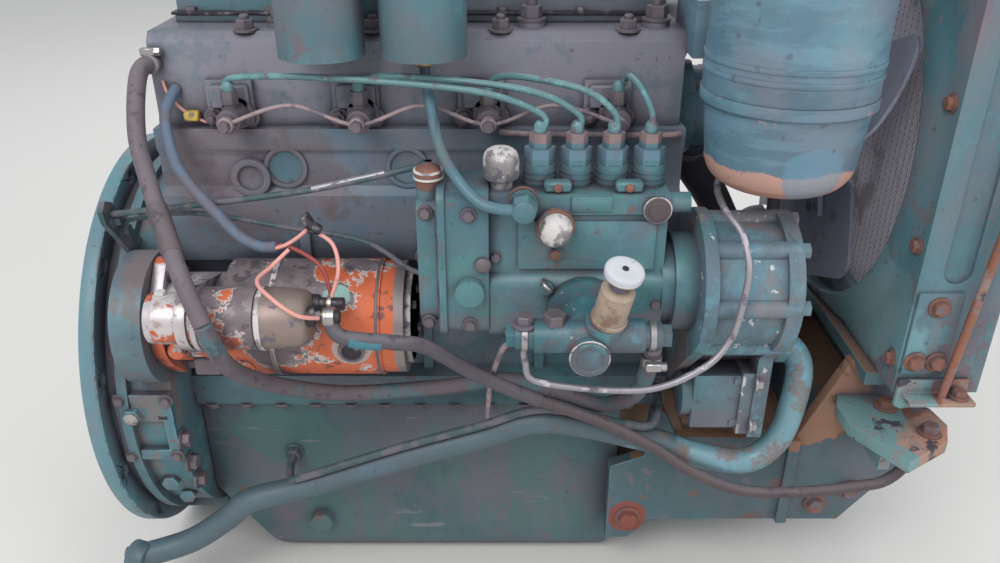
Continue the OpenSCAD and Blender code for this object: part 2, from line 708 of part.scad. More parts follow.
module fan_shroud() color(teal) difference() {
    union() {
        block_of([rad_x0 - 3, -rad_half_w, rad_z0 + 1], [rad_x0, rad_half_w, core_z1 - 2]);
        // Dished part, from the fan's opening back to the edges
        intersection() {
            translate([shroud_x, 0, fan_z]) rotate([0, 90, 0])
                cylinder(r1 = shroud_r + 2, r2 = rad_half_w, h = shroud_depth - 2, $fn = 96);
            block_of([shroud_x - 1, -rad_half_w, rad_z0 + 1], [rad_x0 - 1, rad_half_w, core_z1 - 2]);
        }
    }
    x_rod(shroud_r, shroud_x - 1, rad_x0 + 1, 0, fan_z, $fn = 96);
    x_rod(25, shroud_x - 1, rad_x0 + 1, lower_outlet.y, lower_outlet.z);
}

module upper_hose() color(black) {
    a = [block_x1 + 45, 0, thermostat_z];
    b = upper_inlet;
    tube([a, a + [20, 0, 4], a + [48, 0, 54], b + [-70, 0, -28], b + [-30, 0, -2], b], 26, 2, 12,
         from = [1, 0, 0], to = [1, 0, 0]);
}

module lower_hose() color(black) {
    a = lower_outlet;
    way = [0, -sin(30), cos(30)];
    b = [block_x1 + 44, 30, fan_z - 30] - 26 * way;
    tube([a, a + [-22, 0, 0], a + [-48, -20, -3], [belt_x - 4, 98, 92], [belt_x - 36, 76, 146], b - 24 * way, b], 21, 2, 12,
         from = [-1, 0, 0], to = way);
}

module injection_pump() color(teal) {
    front = pump_y - pump_half_w;
    along_x(pump_x0, pump_body_x1) {
        translate([front, pump_mid_z - 10]) square([2 * pump_half_w, pump_z1 - pump_mid_z + 10]);
        soft_rect([pump_y - 36, pump_z0], [pump_y + 36, pump_mid_z], 16);
    }
    // Neck and flange on the timing case
    x_rod(38, pump_body_x1 - 1, pump_x1 - 13, pump_y, 166);
    x_rod(46, pump_x1 - 14, block_x1, pump_y, 166);
    x_rod(9, pump_body_x1 - 1, pump_x1 - 4, front + 12, pump_z1 - 12);
    // Head that carries the delivery valves
    block_of([pump_x0 + 22, front - 3, pump_z1 - 18], [pump_body_x1, pump_y + pump_half_w, pump_z1]);
    // Side cover and the blank plate above it
    block_of([pump_x0 + 26, front - 4, pump_mid_z + 3], [pump_body_x1 - 10, front + 1, pump_z1 - 24]);
    block_of([pump_x0 + 72, front - 4.5, pump_z1 - 15], [pump_x0 + 107, front - 2, pump_z1 - 1]);
    // Knob, two cover screws and the plug at the end
    y_rod(15, front - 12, front, pump_x0 + 58, pump_mid_z + 47);
    y_rod(13, front - 25, front - 11, pump_x0 + 58, pump_mid_z + 47);
    y_rod(6, front - 8, front, pump_x0 + 60, pump_mid_z + 19);
    y_rod(6, pump_y - 42, pump_y - 35, pump_x0 + 52, pump_mid_z - 12);
    y_rod(9, front - 7, front, pump_body_x1 - 11, pump_z1 - 12);
    // Domed cap of the oil filler
    translate([pump_x0 + 11, pump_y - 7, 0]) {
        z_rod(9, pump_z1 - 1, pump_z1 + 9);
        intersection() {
            z_rod(15, pump_z1 + 8, pump_z1 + 40);
            translate([0, 0, pump_z1 + 15]) sphere(20);
        }
    }
}

module governor() color(teal) {
    along_x(governor_x0 + 20, pump_x0) soft_rect([pump_y - 38, pump_z0 + 6], [pump_y + 30, pump_z1 + 4], 12);
    along_x(governor_x0, governor_x0 + 20) soft_rect([pump_y - 32, pump_z0 + 14], [pump_y + 24, pump_z1 - 6], 14);
    // Joint between the housing and its cover
    along_x(governor_x0 + 18, governor_x0 + 25) soft_rect([pump_y - 41, pump_z0 + 3], [pump_y + 33, pump_z1 + 7], 13);
    y_rod(13, pump_y - 48, pump_y - 37, governor_x0 + 46, 176);
    z_rod(11, pump_z1 - 8, pump_z1 + 10, governor_x0 + 10.5, pump_y - 14);
    translate([governor_x0 + 10.5, pump_y - 14, pump_z1 + 9.5]) sphere(11);
}

module delivery_valves() color(blue_teal) for (x = element_x) {
    z_rod(14, pump_z1, pump_z1 + 20, x, pump_y);
    hex_z(24, pump_z1 + 19, pump_z1 + 34, x, pump_y);
    hex_z(17, pump_z1 + 33, pump_z1 + 47, x, pump_y);
}

module feed_pump() color(teal) {
    // Flange on the pump's side, neck, and the barrel with its two banjo unions
    y_rod(34, feed_y + 34, pump_y - 36, feed_x, feed_z);
    y_rod(22, feed_y, feed_y + 35, feed_x, feed_z);
    x_rod(15, feed_x - 47, feed_x + 48, feed_y, feed_z);
    y_rod(17, feed_y - 22, feed_y, feed_x, feed_z - 10);
    for (s = [-1, 1]) translate([feed_x + s * 55, 0, 0]) {
        x_rod(12, -8, 8, feed_y, feed_z);
        hex_x(19, s > 0 ? 7 : -16, s > 0 ? 16 : -7, feed_y, feed_z);
    }
    // Seat of the hand primer
    translate([feed_x + 13, feed_y, feed_z]) rotate([18, 0, 0]) z_rod(17, 0, 20);
}

module primer() color([0.75, 0.66, 0.5])
    translate([feed_x + 13, feed_y, feed_z]) rotate([18, 0, 0]) {
        z_rod(14, 20, 56);
        z_rod(8, 55, 72);
        z_rod(17, 71, 80);
    }

module injectors() color(steel) for (x = injector_x) {
    pad_y = -head_half_w - 7;
    y_rod(15, pad_y - 6, pad_y, x, injector_z);
    y_rod(11, injector_y, pad_y - 5, x, injector_z);
    // Inlet on top
    z_rod(6, injector_z, injector_z + 18, x, pad_y - 23);
    hex_z(14, injector_z + 14, injector_z + 26, x, pad_y - 23);
}

module injector_pipes() color(blue_teal) for (i = [0:3]) {
    a = [element_x[i], pump_y, pump_z1 + 47];
    b = [injector_x[i], -head_half_w - 30, injector_z + 26];
    run = b.x - a.x;
    tube([a, a + [0, 0, 16], a + [run * 0.2 - 4, 8, 34], a + [run * 0.7, 30, 40], b + [6, -2, 12], b],
         injection_pipe_r, 2, from = [0, 0, 1], to = [0, 0, -1]);
}

module leak_off_pipe() color(grime) {
    y = injector_y - 6;
    tube([for (i = [0:6]) [injector_x[0] + i * bore_pitch / 2, y, injector_z + (i % 2) * 18]], 2.5, 2);
    for (x = injector_x) {
        y_rod(9, injector_y - 12, injector_y, x, injector_z);
        hex_y(12, injector_y - 18, injector_y - 11, x, injector_z);
    }
}

module starter_motor() color(orange) {
    nose_x = block_x0 + 19;
    // Flange with its two ears
    along_x(block_x0, block_x0 + 12) hull() {
        translate([starter_y, starter_z]) circle(50);
        for (s = [-1, 1]) translate([starter_y, starter_z + s * 50]) circle(14);
    }
    // Drive end, with the bridge and the cap in line with the solenoid
    x_rod(44, block_x0 + 11, block_x0 + 72, starter_y, starter_z);
    along_x(block_x0 + 48, solenoid_x0) hull() {
        translate([starter_y, starter_z]) circle(44);
        translate([solenoid_y, solenoid_z]) circle(solenoid_r);
    }
    x_rod(23, nose_x, block_x0 + 49, solenoid_y, solenoid_z);
    // Yoke and commutator end cover
    x_rod(starter_r, block_x0 + 71, starter_x1 - 28, starter_y, starter_z);
    x_rod(starter_r - 2, starter_x1 - 29, starter_x1 - 6, starter_y, starter_z);
    x_rod(starter_r - 14, starter_x1 - 7, starter_x1, starter_y, starter_z);
}

module starter_solenoid() color(orange) translate([0, solenoid_y, solenoid_z]) {
    x_rod(solenoid_r + 2, solenoid_x0, solenoid_x0 + 6);
    x_rod(solenoid_r, solenoid_x0 + 5, solenoid_x0 + 66);
    block_of([solenoid_x0 + 65, -27, -22], [solenoid_x0 + 104, 20, 27]);
    for (s = [-1, 1]) x_rod(6, solenoid_x0 + 103, solenoid_x0 + 134, s * 12, 8);
}

module air_cleaner() color(blue_teal) {
    translate([cleaner_x, cleaner_y, 0]) {
        z_rod(cleaner_r, cleaner_rim_z, cleaner_top);
        // Beads rolled into the body
        for (z = [cleaner_rim_z + 16, cleaner_rim_z + 26, cleaner_top - 12]) z_rod(cleaner_r + 1, z, z + 4);
        z_rod(cleaner_r - 12, cleaner_top - 1, cleaner_top + 14);
        z_rod(30, cleaner_top + 13, cleaner_top + 50);
        y_rod(30, cleaner_r - 10, cleaner_r + 30, 0, cleaner_top - 45);
    }
    // Bracket from the front face of the cylinder head
    head_x1 = block_x1 - 5;
    block_of([head_x1, -150, 360], [head_x1 + 8, -60, 410]);
    block_of([head_x1, -150, 360], [cleaner_x - 15, -142, 410]);
}

module air_cleaner_bowl() color(blue_teal) translate([cleaner_x, cleaner_y, 0]) rotate_extrude() {
    low_r = cleaner_r - 8;
    polygon([
        [0, bowl_z0], [low_r - bowl_edge_r, bowl_z0], [low_r - bowl_edge_r, bowl_z0 + bowl_edge_r],
        [low_r, bowl_z0 + bowl_edge_r], [cleaner_r - 3, cleaner_rim_z - 12], [cleaner_r + 1, cleaner_rim_z - 9],
        [cleaner_r + 1, cleaner_rim_z], [0, cleaner_rim_z]
    ]);
    translate([low_r - bowl_edge_r, bowl_z0 + bowl_edge_r]) circle(bowl_edge_r);
}

module intake_pipe() color(black) {
    a = [cleaner_x, cleaner_y + cleaner_r + 30, cleaner_top - 45];
    b = [cyl_x[3], head_half_w + 44, deck_z + 130];
    tube([a, a + [0, 30, 2], a + [-20, 110, 12], [block_x1 - 10, 40, cover_z1 + 38], b + [2, -30, 52], b + [0, 0, 16], b],
         26, 2, 12, from = [0, 1, 0], to = [0, 0, -1]);
}

module intake_manifold() color(teal) {
    y = head_half_w + 44;
    z = head_z1 - 15;
    x_rod(22, cyl_x[0] - 30, cyl_x[3] + 30, y, z);
    for (x = cyl_x) {
        y_rod(13, head_half_w, y, x - 20, z);
        block_of([x - 44, head_half_w, z - 14], [x + 4, head_half_w + 8, z + 14]);
    }
    z_rod(26, z, deck_z + 130, cyl_x[3], y);
}

module exhaust_manifold() color(rust) difference() {
    y = head_half_w + 40;
    z = deck_z + 22;
    union() {
        x_rod(24, cyl_x[0] - 30, cyl_x[3] + 40, y, z);
        for (x = cyl_x) {
            y_rod(19, head_half_w, y, x + 22, z);
            block_of([x - 4, head_half_w, z - 20], [x + 48, head_half_w + 9, z + 20]);
        }
        // Outlet with its two-bolt flange
        y_rod(24, y, y + 52, mid_x, z);
        along_y(y + 50, y + 62) {
            translate([mid_x, z]) circle(34);
            for (s = [-1, 1]) translate([mid_x + s * 42, z]) circle(13);
            translate([mid_x - 42, z - 13]) square([84, 26]);
        }
    }
    y_rod(18, y, y + 63, mid_x, z);
    for (s = [-1, 1]) y_rod(5, y + 49, y + 63, mid_x + s * 42, z);
}

module oil_filter() color(rust) {
    z_rod(42, 40, 160, mid_x - 60, block_half_w + 62);
    block_of([mid_x - 90, block_half_w, 160], [mid_x - 30, block_half_w + 100, 186]);
}

module fuel_filters() color(teal) {
    y = -head_half_w - 46;
    for (x = filter_x) z_rod(38, head_z1 - 10, head_z1 + 92, x, y);
    block_of([filter_x[0] - 32, y - 20, head_z1 + 92], [filter_x[1] + 32, y + 20, head_z1 + 116]);
    // Bracket up from the cylinder head
    block_of([filter_x[0], -head_half_w + 20, head_z1], [filter_x[0] + 50, -head_half_w + 28, head_z1 + 108]);
    block_of([filter_x[0], y, head_z1 + 100], [filter_x[0] + 50, -head_half_w + 28, head_z1 + 108]);
}

module hydraulic_pump() color(teal) difference() {
    x1 = case_x1 - 14;
    union() {
        block_of([x1 - 58, hydraulic_y - 38, 2], [x1 - 11, hydraulic_y + 28, 64]);
        block_of([x1 - 12, hydraulic_y - 42, -3], [x1, hydraulic_y + 34, 69]);
        for (z = [8, 58]) hex_x(11, x1 - 19, x1 - 11.5, hydraulic_y - 34, z);
        x_rod(24, x1 - 68, x1 - 57, hydraulic_y - 14, 30);
    }
    // Seated against the slope of the timing case
    along_x(block_x1 - 1, case_x1) gear_outline(0.2);
    along_x(block_x1 - 1, block_x1 + 12.2) gear_outline(8.2);
}

module suction_pipe() color(blue_teal) {
    tube([
        [case_x1 + 14, hydraulic_y, 78], [706, -180, 75], [716, -188, 56], [712, -198, 20], [700, -203, -24],
        [670, -205, -49], [622, -205, -42], [557, -205, -19], [458, -200, -1], [390, -195, -26], [304, -195, -54],
        [193, -195, -94], [138, -200, -108], [106, -200, -136], [63, -205, -163], [2, -222, -172]
    ], suction_pipe_r, 1, 10, from = [1, 0, 0], to = [-1, 0, 0]);
    // Thin pipe beside it, between the block's rail and the sump
    tube([
        [block_x1 - 11, -rail_half_w - gap, 8], [block_x1 - 11, -175, 8], [572, -200, 4], [554, -212, 0],
        [458, -207, 18], [390, -202, -7], [304, -202, -35], [200, -202, -74], [184, -192, -84],
        [177, -165, -88], [176, -sump_half_w - gap, -88]
    ], return_pipe_r, 1, from = [0, -1, 0], to = [0, 1, 0]);
}

module fuel_pipes() color(steel) {
    filter_y = -head_half_w - 46;
    union_y = pump_y - pump_half_w - 3;
    // From the feed pump up to the filters
    tube([
        [feed_x - 55, feed_y, feed_z - 12], [433, -291, 128], [447, -292, 107], [536, -298, 103], [588, -292, 121],
        [612, -285, 147], [621, -284, 183], [630, -276, 222], [642, -240, 244], [650, -180, 246], [648, -138, 250],
        [640, -125, 300], [632, -125, 400], [590, -142, 450], [filter_x[1] + 60, filter_y, 484],
        [filter_x[1] + 32, filter_y, 484]
    ], 3.5, 1, from = [0, 0, -1], to = [-1, 0, 0]);
    // From the filters down to the injection pump
    tube([
        [431, union_y - 23, 258], [410, -262, 260], [392, -257, 265], [373, -240, 281], [359, -215, 298],
        [350, -185, 325], [filter_x[1], filter_y, 352], [filter_x[1], filter_y, head_z1 - 10]
    ], 5, 1, to = [0, 0, 1]);
    hex_y(24, union_y - 30, union_y, 431, 258);
}

module fuel_hose() color(black) tube([
    [88, -head_half_w, 350], [80, -142, 344], [84, -180, 300], [98, -207, 262], [120, -245, 232], [142, -283, 206],
    [160, -301, 170], [170, -293, 128], [181, -262, 92], [204, -224, 56], [256, -193, 28], [349, -185, 30], [421, -185, 39], [473, -190, 27],
    [514, -200, 19], [540, -230, 50], [545, -264, 95], [feed_x + 57, feed_y, feed_z - 12]
], 8, 1, from = [0, -1, 0], to = [0, 0, 1]);

module control_rods() color(rust) {
    // Bracket on the bell housing and lever on the governor
    rotate([39.2, 0, 0]) block_of([38.5, -12, bell_r], [44.5, 12, 300]);
    z_rod(5, pump_z1 - 6, pump_z1 + 20, governor_x0 + 9, pump_y + 8);
    tube([[44, -180, 221], [230, -198, 251], [governor_x0 + 9, pump_y + 8, pump_z1 + 15]], 3, 2);
    tube([[44, -166, 208], [120, -178, 222], [212, -184, 209], [283, -192, 199], [325, -203, 176],
          [governor_x0, -205, 172]], 2.5, 2, to = [1, 0, 0]);
}

module wiring() color([0.25, 0.4, 0.55]) tube([
    [104, -head_half_w, 326], [100, -148, 308], [108, -168, 276], [124, -186, 257], [148, -201, 236], [171, -209, 213],
    [192, -217, 205], [222, -225, 208], [250, -236, 194],
    [solenoid_x0 + 122, solenoid_y + 12, solenoid_z + 14]
], 4, 2, from = [0, -1, 0], to = [0, 0, -1]);

module battery_cable() color(black) tube([
    [solenoid_x0 + 124, solenoid_y - 12, solenoid_z + 2], [272, -273, 142], [318, -272, 136], [345, -258, 122],
    [392, -238, 78], [450, -231, 45], [510, -231, 20], [563, -231, -10], [607, -230, -43], [662, -227, -70],
    [725, -226, -74], [784, -224, -68], [814, -222, -62], [rad_x0 + 42, -219, -40], [rad_x0 + 45, -214, -4 - gap]
], 7, 1, from = [0, 0, -1], to = [0, 0, 1]);

block();
head();
rocker_cover();
oil_filler();
sump();
bell_housing();
timing_case();
bell_flange();
bell_frame();
front_support();
support_slope();
support_front();
radiator_shelf();
support_sides();
side_brackets();
crankshaft();
flywheel();
ring_gear();
clutch_cover();
crank_pulley();
water_pump();
fan_hub();
fan_blades();
fan_belt();
dynamo();
dynamo_pulley();
radiator_core();
radiator_tanks();
radiator_cap();
fan_shroud();
upper_hose();
lower_hose();
injection_pump();
governor();
delivery_valves();
feed_pump();
primer();
injectors();
injector_pipes();
leak_off_pipe();
starter_motor();
starter_solenoid();
air_cleaner();
air_cleaner_bowl();
intake_pipe();
intake_manifold();
exhaust_manifold();
oil_filter();
fuel_filters();
hydraulic_pump();
suction_pipe();
fuel_pipes();
fuel_hose();
control_rods();
wiring();
battery_cable();
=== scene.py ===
"""Looks of the tractor's front power unit: paint, rust, grime and painted shade, smooth pipes and small
fittings.
"""
import math
from itertools import product
import bmesh
import bpy
from mathutils import Matrix, Vector


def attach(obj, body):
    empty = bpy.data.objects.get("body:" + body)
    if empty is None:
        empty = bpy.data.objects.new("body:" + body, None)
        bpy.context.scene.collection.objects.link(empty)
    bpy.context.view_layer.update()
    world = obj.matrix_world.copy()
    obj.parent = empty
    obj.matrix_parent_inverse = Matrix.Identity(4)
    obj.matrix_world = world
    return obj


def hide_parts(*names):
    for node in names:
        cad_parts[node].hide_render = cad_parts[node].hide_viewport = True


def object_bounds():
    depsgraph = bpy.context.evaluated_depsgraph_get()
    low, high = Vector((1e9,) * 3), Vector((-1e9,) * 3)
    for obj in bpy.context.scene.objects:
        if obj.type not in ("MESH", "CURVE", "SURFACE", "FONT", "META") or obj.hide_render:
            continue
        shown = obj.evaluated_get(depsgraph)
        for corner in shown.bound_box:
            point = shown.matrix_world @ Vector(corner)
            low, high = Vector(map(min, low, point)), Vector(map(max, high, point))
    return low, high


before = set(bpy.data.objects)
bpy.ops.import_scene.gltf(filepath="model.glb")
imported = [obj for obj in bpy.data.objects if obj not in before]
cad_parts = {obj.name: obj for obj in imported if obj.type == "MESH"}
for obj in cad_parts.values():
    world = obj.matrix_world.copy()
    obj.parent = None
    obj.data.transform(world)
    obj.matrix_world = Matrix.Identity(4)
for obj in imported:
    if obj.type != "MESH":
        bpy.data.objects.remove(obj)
cad_low, cad_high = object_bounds()
scene = bpy.context.scene
MM = 0.001
X, Y, Z = 0, 1, 2

# Camera, at the photograph's viewing angle

PHOTO_W = 1000
FOCAL_PX = 866
SENSOR_MM = 36
CAMERA_AT = (0.411, -0.935, 0.535)
CAMERA_PITCH_DOWN = 27
NEAREST = 0.01
camera_data = bpy.data.cameras.new("camera")
camera_data.sensor_width = SENSOR_MM
camera_data.lens = SENSOR_MM * FOCAL_PX / PHOTO_W
camera_data.clip_start = NEAREST
camera = bpy.data.objects.new("camera", camera_data)
camera.location = CAMERA_AT
camera.rotation_euler = (math.radians(90 - CAMERA_PITCH_DOWN), 0, 0)
scene.collection.objects.link(camera)
scene.camera = camera
scene.view_settings.view_transform = "Standard"


# Shader building

EVEN = (1, 1, 1)
FINE = {"detail": 9.0, "torn": 0.7}
COAT_ROUGH = 0.25
BUMP_DEPTH = 0.0005
MATERIAL = {}


def srgb(r, g, b):
    """A colour written as 0 to 255 in sRGB, as linear values with alpha."""
    values = [v / 255 for v in (r, g, b)]
    return tuple(v / 12.92 if v <= 0.04045 else ((v + 0.055) / 1.055) ** 2.4 for v in values) + (1.0,)


class Shader:
    """A material whose layers of paint, dirt, rust and painted shade are laid over each other."""

    def __init__(self, name, colour, rough, metal=0.0, specular=0.5, coat=0.0):
        self.name = name
        self.material = bpy.data.materials.new(name)
        self.material.use_nodes = True
        self.tree = self.material.node_tree
        self.bsdf = self.tree.nodes["Principled BSDF"]
        self.bsdf.inputs["Specular IOR Level"].default_value = specular
        self.bsdf.inputs["Coat Weight"].default_value = coat
        self.bsdf.inputs["Coat Roughness"].default_value = COAT_ROUGH
        self.coords = self.node("ShaderNodeTexCoord")["Object"]
        self.colour = self.value_of(colour)
        self.rough = rough
        self.metal = metal
        self.height = 0.0

    def node(self, kind, inputs=None, **settings):
        """Makes a node with its inputs set or linked, and gives its outputs."""
        made = self.tree.nodes.new(kind)
        for key, value in settings.items():
            setattr(made, key, value)
        for socket, value in (inputs or {}).items():
            self.put(made.inputs[socket], value)
        return made.outputs

    def put(self, socket, value):
        """Links an output, or sets a plain value."""
        if isinstance(value, bpy.types.NodeSocket):
            self.tree.links.new(value, socket)
        else:
            socket.default_value = value

    def value_of(self, colour):
        """A colour as the sockets want it, whether it is linked or plain."""
        return colour if isinstance(colour, bpy.types.NodeSocket) else srgb(*colour)

    def math(self, operation, a, b=0.0):
        return self.node("ShaderNodeMath", {0: a, 1: b}, operation=operation)[0]

    def invert(self, value):
        return self.math("SUBTRACT", 1.0, value)

    def both(self, a, b):
        return self.math("MULTIPLY", a, b)

    def mix(self, amount, a, b, kind="FLOAT"):
        """a where amount is 0 and b where it is 1."""
        first, second, out = (2, 3, 0) if kind == "FLOAT" else (6, 7, 2)
        return self.node("ShaderNodeMix", {0: amount, first: a, second: b}, data_type=kind)[out]

    def ramp(self, value, low, high):
        """0 below low, 1 above high."""
        inputs = {"Value": value, "From Min": low, "From Max": high}
        return self.node("ShaderNodeMapRange", inputs, interpolation_type="SMOOTHSTEP")[0]

    def step(self, value, level, soft):
        """0 below a level and 1 above it, changing over soft on both sides."""
        return self.ramp(value, level - soft, level + soft)

    def moved(self, shift, stretch):
        """The object's coordinates, stretched and then shifted."""
        inputs = {"Vector": self.coords, "Location": shift, "Scale": stretch}
        return self.node("ShaderNodeMapping", inputs)[0]

    def noise(self, scale, seed, detail=5.0, torn=0.6, stretch=EVEN):
        """Cloudy noise about 0.5; scale is in waves per metre and seed moves it elsewhere."""
        place = self.moved((seed, seed * 0.7, seed * 1.3), stretch)
        inputs = {"Vector": place, "Scale": scale, "Detail": detail, "Roughness": torn}
        return self.node("ShaderNodeTexNoise", inputs)[0]

    def crevice_shade(self, reach, low=0.35, high=0.85):
        """1 in corners and gaps, 0 on open faces, from ambient occlusion: a mask for painted shade. Reach
        is in millimetres.
        """
        seen = self.node("ShaderNodeAmbientOcclusion", {"Distance": reach * MM}, samples=6)["AO"]
        return self.invert(self.ramp(seen, low, high))

    def facing(self, axis, low, high):
        """1 on faces that look along an axis of the object."""
        normal = self.node("ShaderNodeTexCoord")["Normal"]
        return self.ramp(self.node("ShaderNodeSeparateXYZ", {0: normal})[axis], low, high)

    def between(self, axis, low, high, soft):
        """1 where the coordinate lies between two values, in millimetres."""
        value = self.node("ShaderNodeSeparateXYZ", {0: self.coords})[axis]
        above = self.step(value, low * MM, soft * MM)
        return self.both(above, self.invert(self.step(value, high * MM, soft * MM)))

    def near(self, centre, radius, soft, stretch=EVEN):
        """1 inside a ball, or an ellipsoid where it is stretched, in millimetres."""
        from_centre = self.moved([-c * s * MM for c, s in zip(centre, stretch)], stretch)
        far = self.node("ShaderNodeVectorMath", {0: from_centre}, operation="LENGTH")["Value"]
        return self.invert(self.step(far, radius * MM, soft * MM))

    def stripes(self, direction, pitch, share, soft=0.06):
        """Bands across a direction, pitch millimetres apart."""
        inputs = {0: self.coords, 1: [d / (pitch * MM) for d in direction]}
        along = self.node("ShaderNodeVectorMath", inputs, operation="DOT_PRODUCT")["Value"]
        off = self.math("SUBTRACT", self.math("FRACT", along), 0.5)
        return self.invert(self.step(self.math("ABSOLUTE", off), share / 2, soft))

    def layer(self, mask, colour, rough=None, metal=None, height=None, amount=1.0):
        """Lays a colour over what is there, where the mask is 1."""
        if amount != 1.0:
            mask = self.both(mask, amount)
        self.colour = self.mix(mask, self.colour, self.value_of(colour), "RGBA")
        if rough is not None:
            self.rough = self.mix(mask, self.rough, rough)
        if metal is not None:
            self.metal = self.mix(mask, self.metal, metal)
        if height is not None:
            self.height = self.math("ADD", self.height, self.both(mask, height))

    def spots(self, scale, above, soft, colour, seed, detail=8.0, torn=0.6, stretch=EVEN, within=None,
              **kind):
        """Lays a colour where noise lies above a level, inside a region where one is given."""
        mask = self.step(self.noise(scale, seed, detail, torn, stretch), above, soft)
        self.layer(mask if within is None else self.both(within, mask), colour, **kind)

    def stain(self, region, scale, colour, seed, reach=2.6, **kind):
        """Lays a colour on a region with a torn edge."""
        edge = self.both(self.math("SUBTRACT", self.noise(scale, seed, detail=7.0), 0.5), reach)
        self.layer(self.step(self.math("ADD", region, edge), 0.5, 0.08), colour, **kind)

    def vary(self, scale, amount, seed):
        """Lightens and darkens the colour in soft clouds."""
        value = self.math("ADD", 1 - amount * 0.5, self.both(self.noise(scale, seed), amount))
        self.colour = self.node("ShaderNodeHueSaturation", {"Value": value, "Color": self.colour})[0]

    def done(self, bump=0.4, grain=900, grain_height=0.15):
        """Joins the layers to the shader, with a fine grain. Heights are in parts of BUMP_DEPTH."""
        fine = self.both(self.noise(grain, 3.1, detail=3.0), grain_height)
        inputs = {"Strength": bump, "Distance": BUMP_DEPTH, "Height": self.math("ADD", self.height, fine)}
        self.put(self.bsdf.inputs["Normal"], self.node("ShaderNodeBump", inputs)[0])
        self.put(self.bsdf.inputs["Base Color"], self.colour)
        self.put(self.bsdf.inputs["Roughness"], self.rough)
        self.put(self.bsdf.inputs["Metallic"], self.metal)
        MATERIAL[self.name] = self.material


# Colours, as they show in daylight

TEAL = (72, 112, 120)
TEAL_PALE = (104, 148, 158)
TEAL_DARK = (64, 92, 98)
TEAL_BLUE = (82, 114, 130)
TEAL_GREEN = (66, 108, 114)
BLUE_BRIGHT = (98, 148, 174)
GRIME = (106, 99, 109)
# Soot, and also the colour of painted shade in corners and gaps and on the head's upward faces
SOOT_AND_SHADE = (68, 64, 74)
DUST = (136, 130, 134)
MUD = (140, 108, 86)
RUST = (118, 84, 74)
RUST_BRIGHT = (150, 96, 74)
ORANGE = (204, 102, 64)
ORANGE_PALE = (222, 138, 98)
SALMON = (176, 134, 126)
MINT = (150, 186, 178)
CHALK = (206, 204, 200)
BARE = (176, 172, 172)
IRON = (112, 104, 108)
RUBBER = (76, 72, 80)


def grimy_paint(name, paint, pale, dirt=0.5, chips=0.62, rust=0.66, seed=0.0, edge=False, local=None):
    """Old brushed paint on cast iron, with oily dirt and painted shade in the corners and chips down to
    rust.
    """
    s = Shader(name, paint, 0.48, coat=0.1)
    s.vary(9, 0.5, seed)
    s.spots(14, 0.56, 0.08, pale, seed + 1.7, detail=5.0, rough=0.42, amount=0.45)
    s.spots(26, chips, 0.012, GRIME, seed + 2.9, torn=0.68, rough=0.75, height=-0.5)
    s.spots(38, rust, 0.01, RUST, seed + 4.1, torn=0.7, rough=0.85, height=-0.4)
    if edge:
        s.spots(60, 0.47, 0.03, pale, seed + 5.3, detail=6.0, rough=0.4)
        s.spots(70, 0.58, 0.02, IRON, seed + 6.1, detail=6.0, rough=0.6, metal=0.3)
    s.spots(6, 1.0 - dirt, 0.12, GRIME, seed + 7.7, rough=0.7, amount=0.75, **FINE)
    if local:
        local(s)
    # Soot colour in corners and gaps, from ambient occlusion: painted shade, with oily dirt
    s.layer(s.crevice_shade(28), SOOT_AND_SHADE, rough=0.7, amount=0.85)
    s.spots(110, 0.66, 0.03, SOOT_AND_SHADE, seed + 8.9, rough=0.7, amount=0.5)
    s.done()


def metal(name, colour, rough, seed, cover=0.55, shine=0.9):
    """Bare or plated metal with dirt on it, and painted shade in its corners."""
    s = Shader(name, colour, rough, metal=shine)
    s.vary(60, 0.4, seed)
    s.spots(55, cover, 0.04, GRIME, seed + 1.1, detail=7.0, rough=0.75, metal=0.1)
    # Painted shade in corners and gaps, from ambient occlusion
    s.layer(s.crevice_shade(12), SOOT_AND_SHADE, rough=0.7, metal=0.1, amount=0.8)
    s.done(bump=0.3)


def rusty(name, seed):
    """Steel that has rusted all over, with brighter rust and dirt in patches, and painted shade in its
    corners.
    """
    s = Shader(name, RUST, 0.85)
    s.vary(30, 0.7, seed)
    s.spots(60, 0.55, 0.05, RUST_BRIGHT, seed + 1.3, detail=5.0, amount=0.6)
    s.spots(35, 0.58, 0.04, GRIME, seed + 2.3, detail=5.0, rough=0.8, height=-0.3)
    # Painted shade in corners and gaps, from ambient occlusion
    s.layer(s.crevice_shade(15), SOOT_AND_SHADE, amount=0.7)
    s.done(bump=0.6, grain=700, grain_height=0.4)


def rubber(name, colour, seed, dust=0.35, paint=None):
    """Old rubber with dust on top, and overspray where a paint is given."""
    s = Shader(name, colour, 0.6, specular=0.35)
    s.vary(25, 0.5, seed)
    s.layer(s.facing(Z, 0.2, 1.0), DUST, rough=0.85, amount=dust)
    if paint:
        s.spots(22, 0.55, 0.05, paint, seed + 4.0, detail=7.0, rough=0.7, amount=0.7)
    s.spots(90, 0.6, 0.05, SOOT_AND_SHADE, seed + 2.0, detail=5.0, amount=0.6)
    s.done(bump=0.2, grain=1500)


def plain(name, colour, rough, seed, above=0.58, dirt=GRIME):
    """Paint or plastic of one colour, dirty in places, with painted shade in its corners."""
    s = Shader(name, colour, rough)
    s.vary(40, 0.35, seed)
    s.spots(50, above, 0.05, dirt, seed + 1.9, detail=7.0, rough=0.75, amount=0.8)
    # Painted shade in corners and gaps, from ambient occlusion
    s.layer(s.crevice_shade(10), SOOT_AND_SHADE, amount=0.6)
    s.done(bump=0.25)


def flaking(name, under, over, seed, shine, above=0.5):
    """Dull bright metal with the last of its paint in flakes, and painted shade in its corners."""
    s = Shader(name, under, 0.45, metal=shine)
    s.vary(50, 0.3, seed)
    s.spots(45, above, 0.02, over, seed + 1.0, torn=0.7, rough=0.6, metal=0.0, height=0.5)
    s.spots(70, 0.6, 0.03, GRIME, seed + 2.0, detail=7.0, rough=0.8, metal=0.0)
    # Painted shade in corners and gaps, from ambient occlusion
    s.layer(s.crevice_shade(8), SOOT_AND_SHADE, metal=0.1, amount=0.8)
    s.done(bump=0.4)
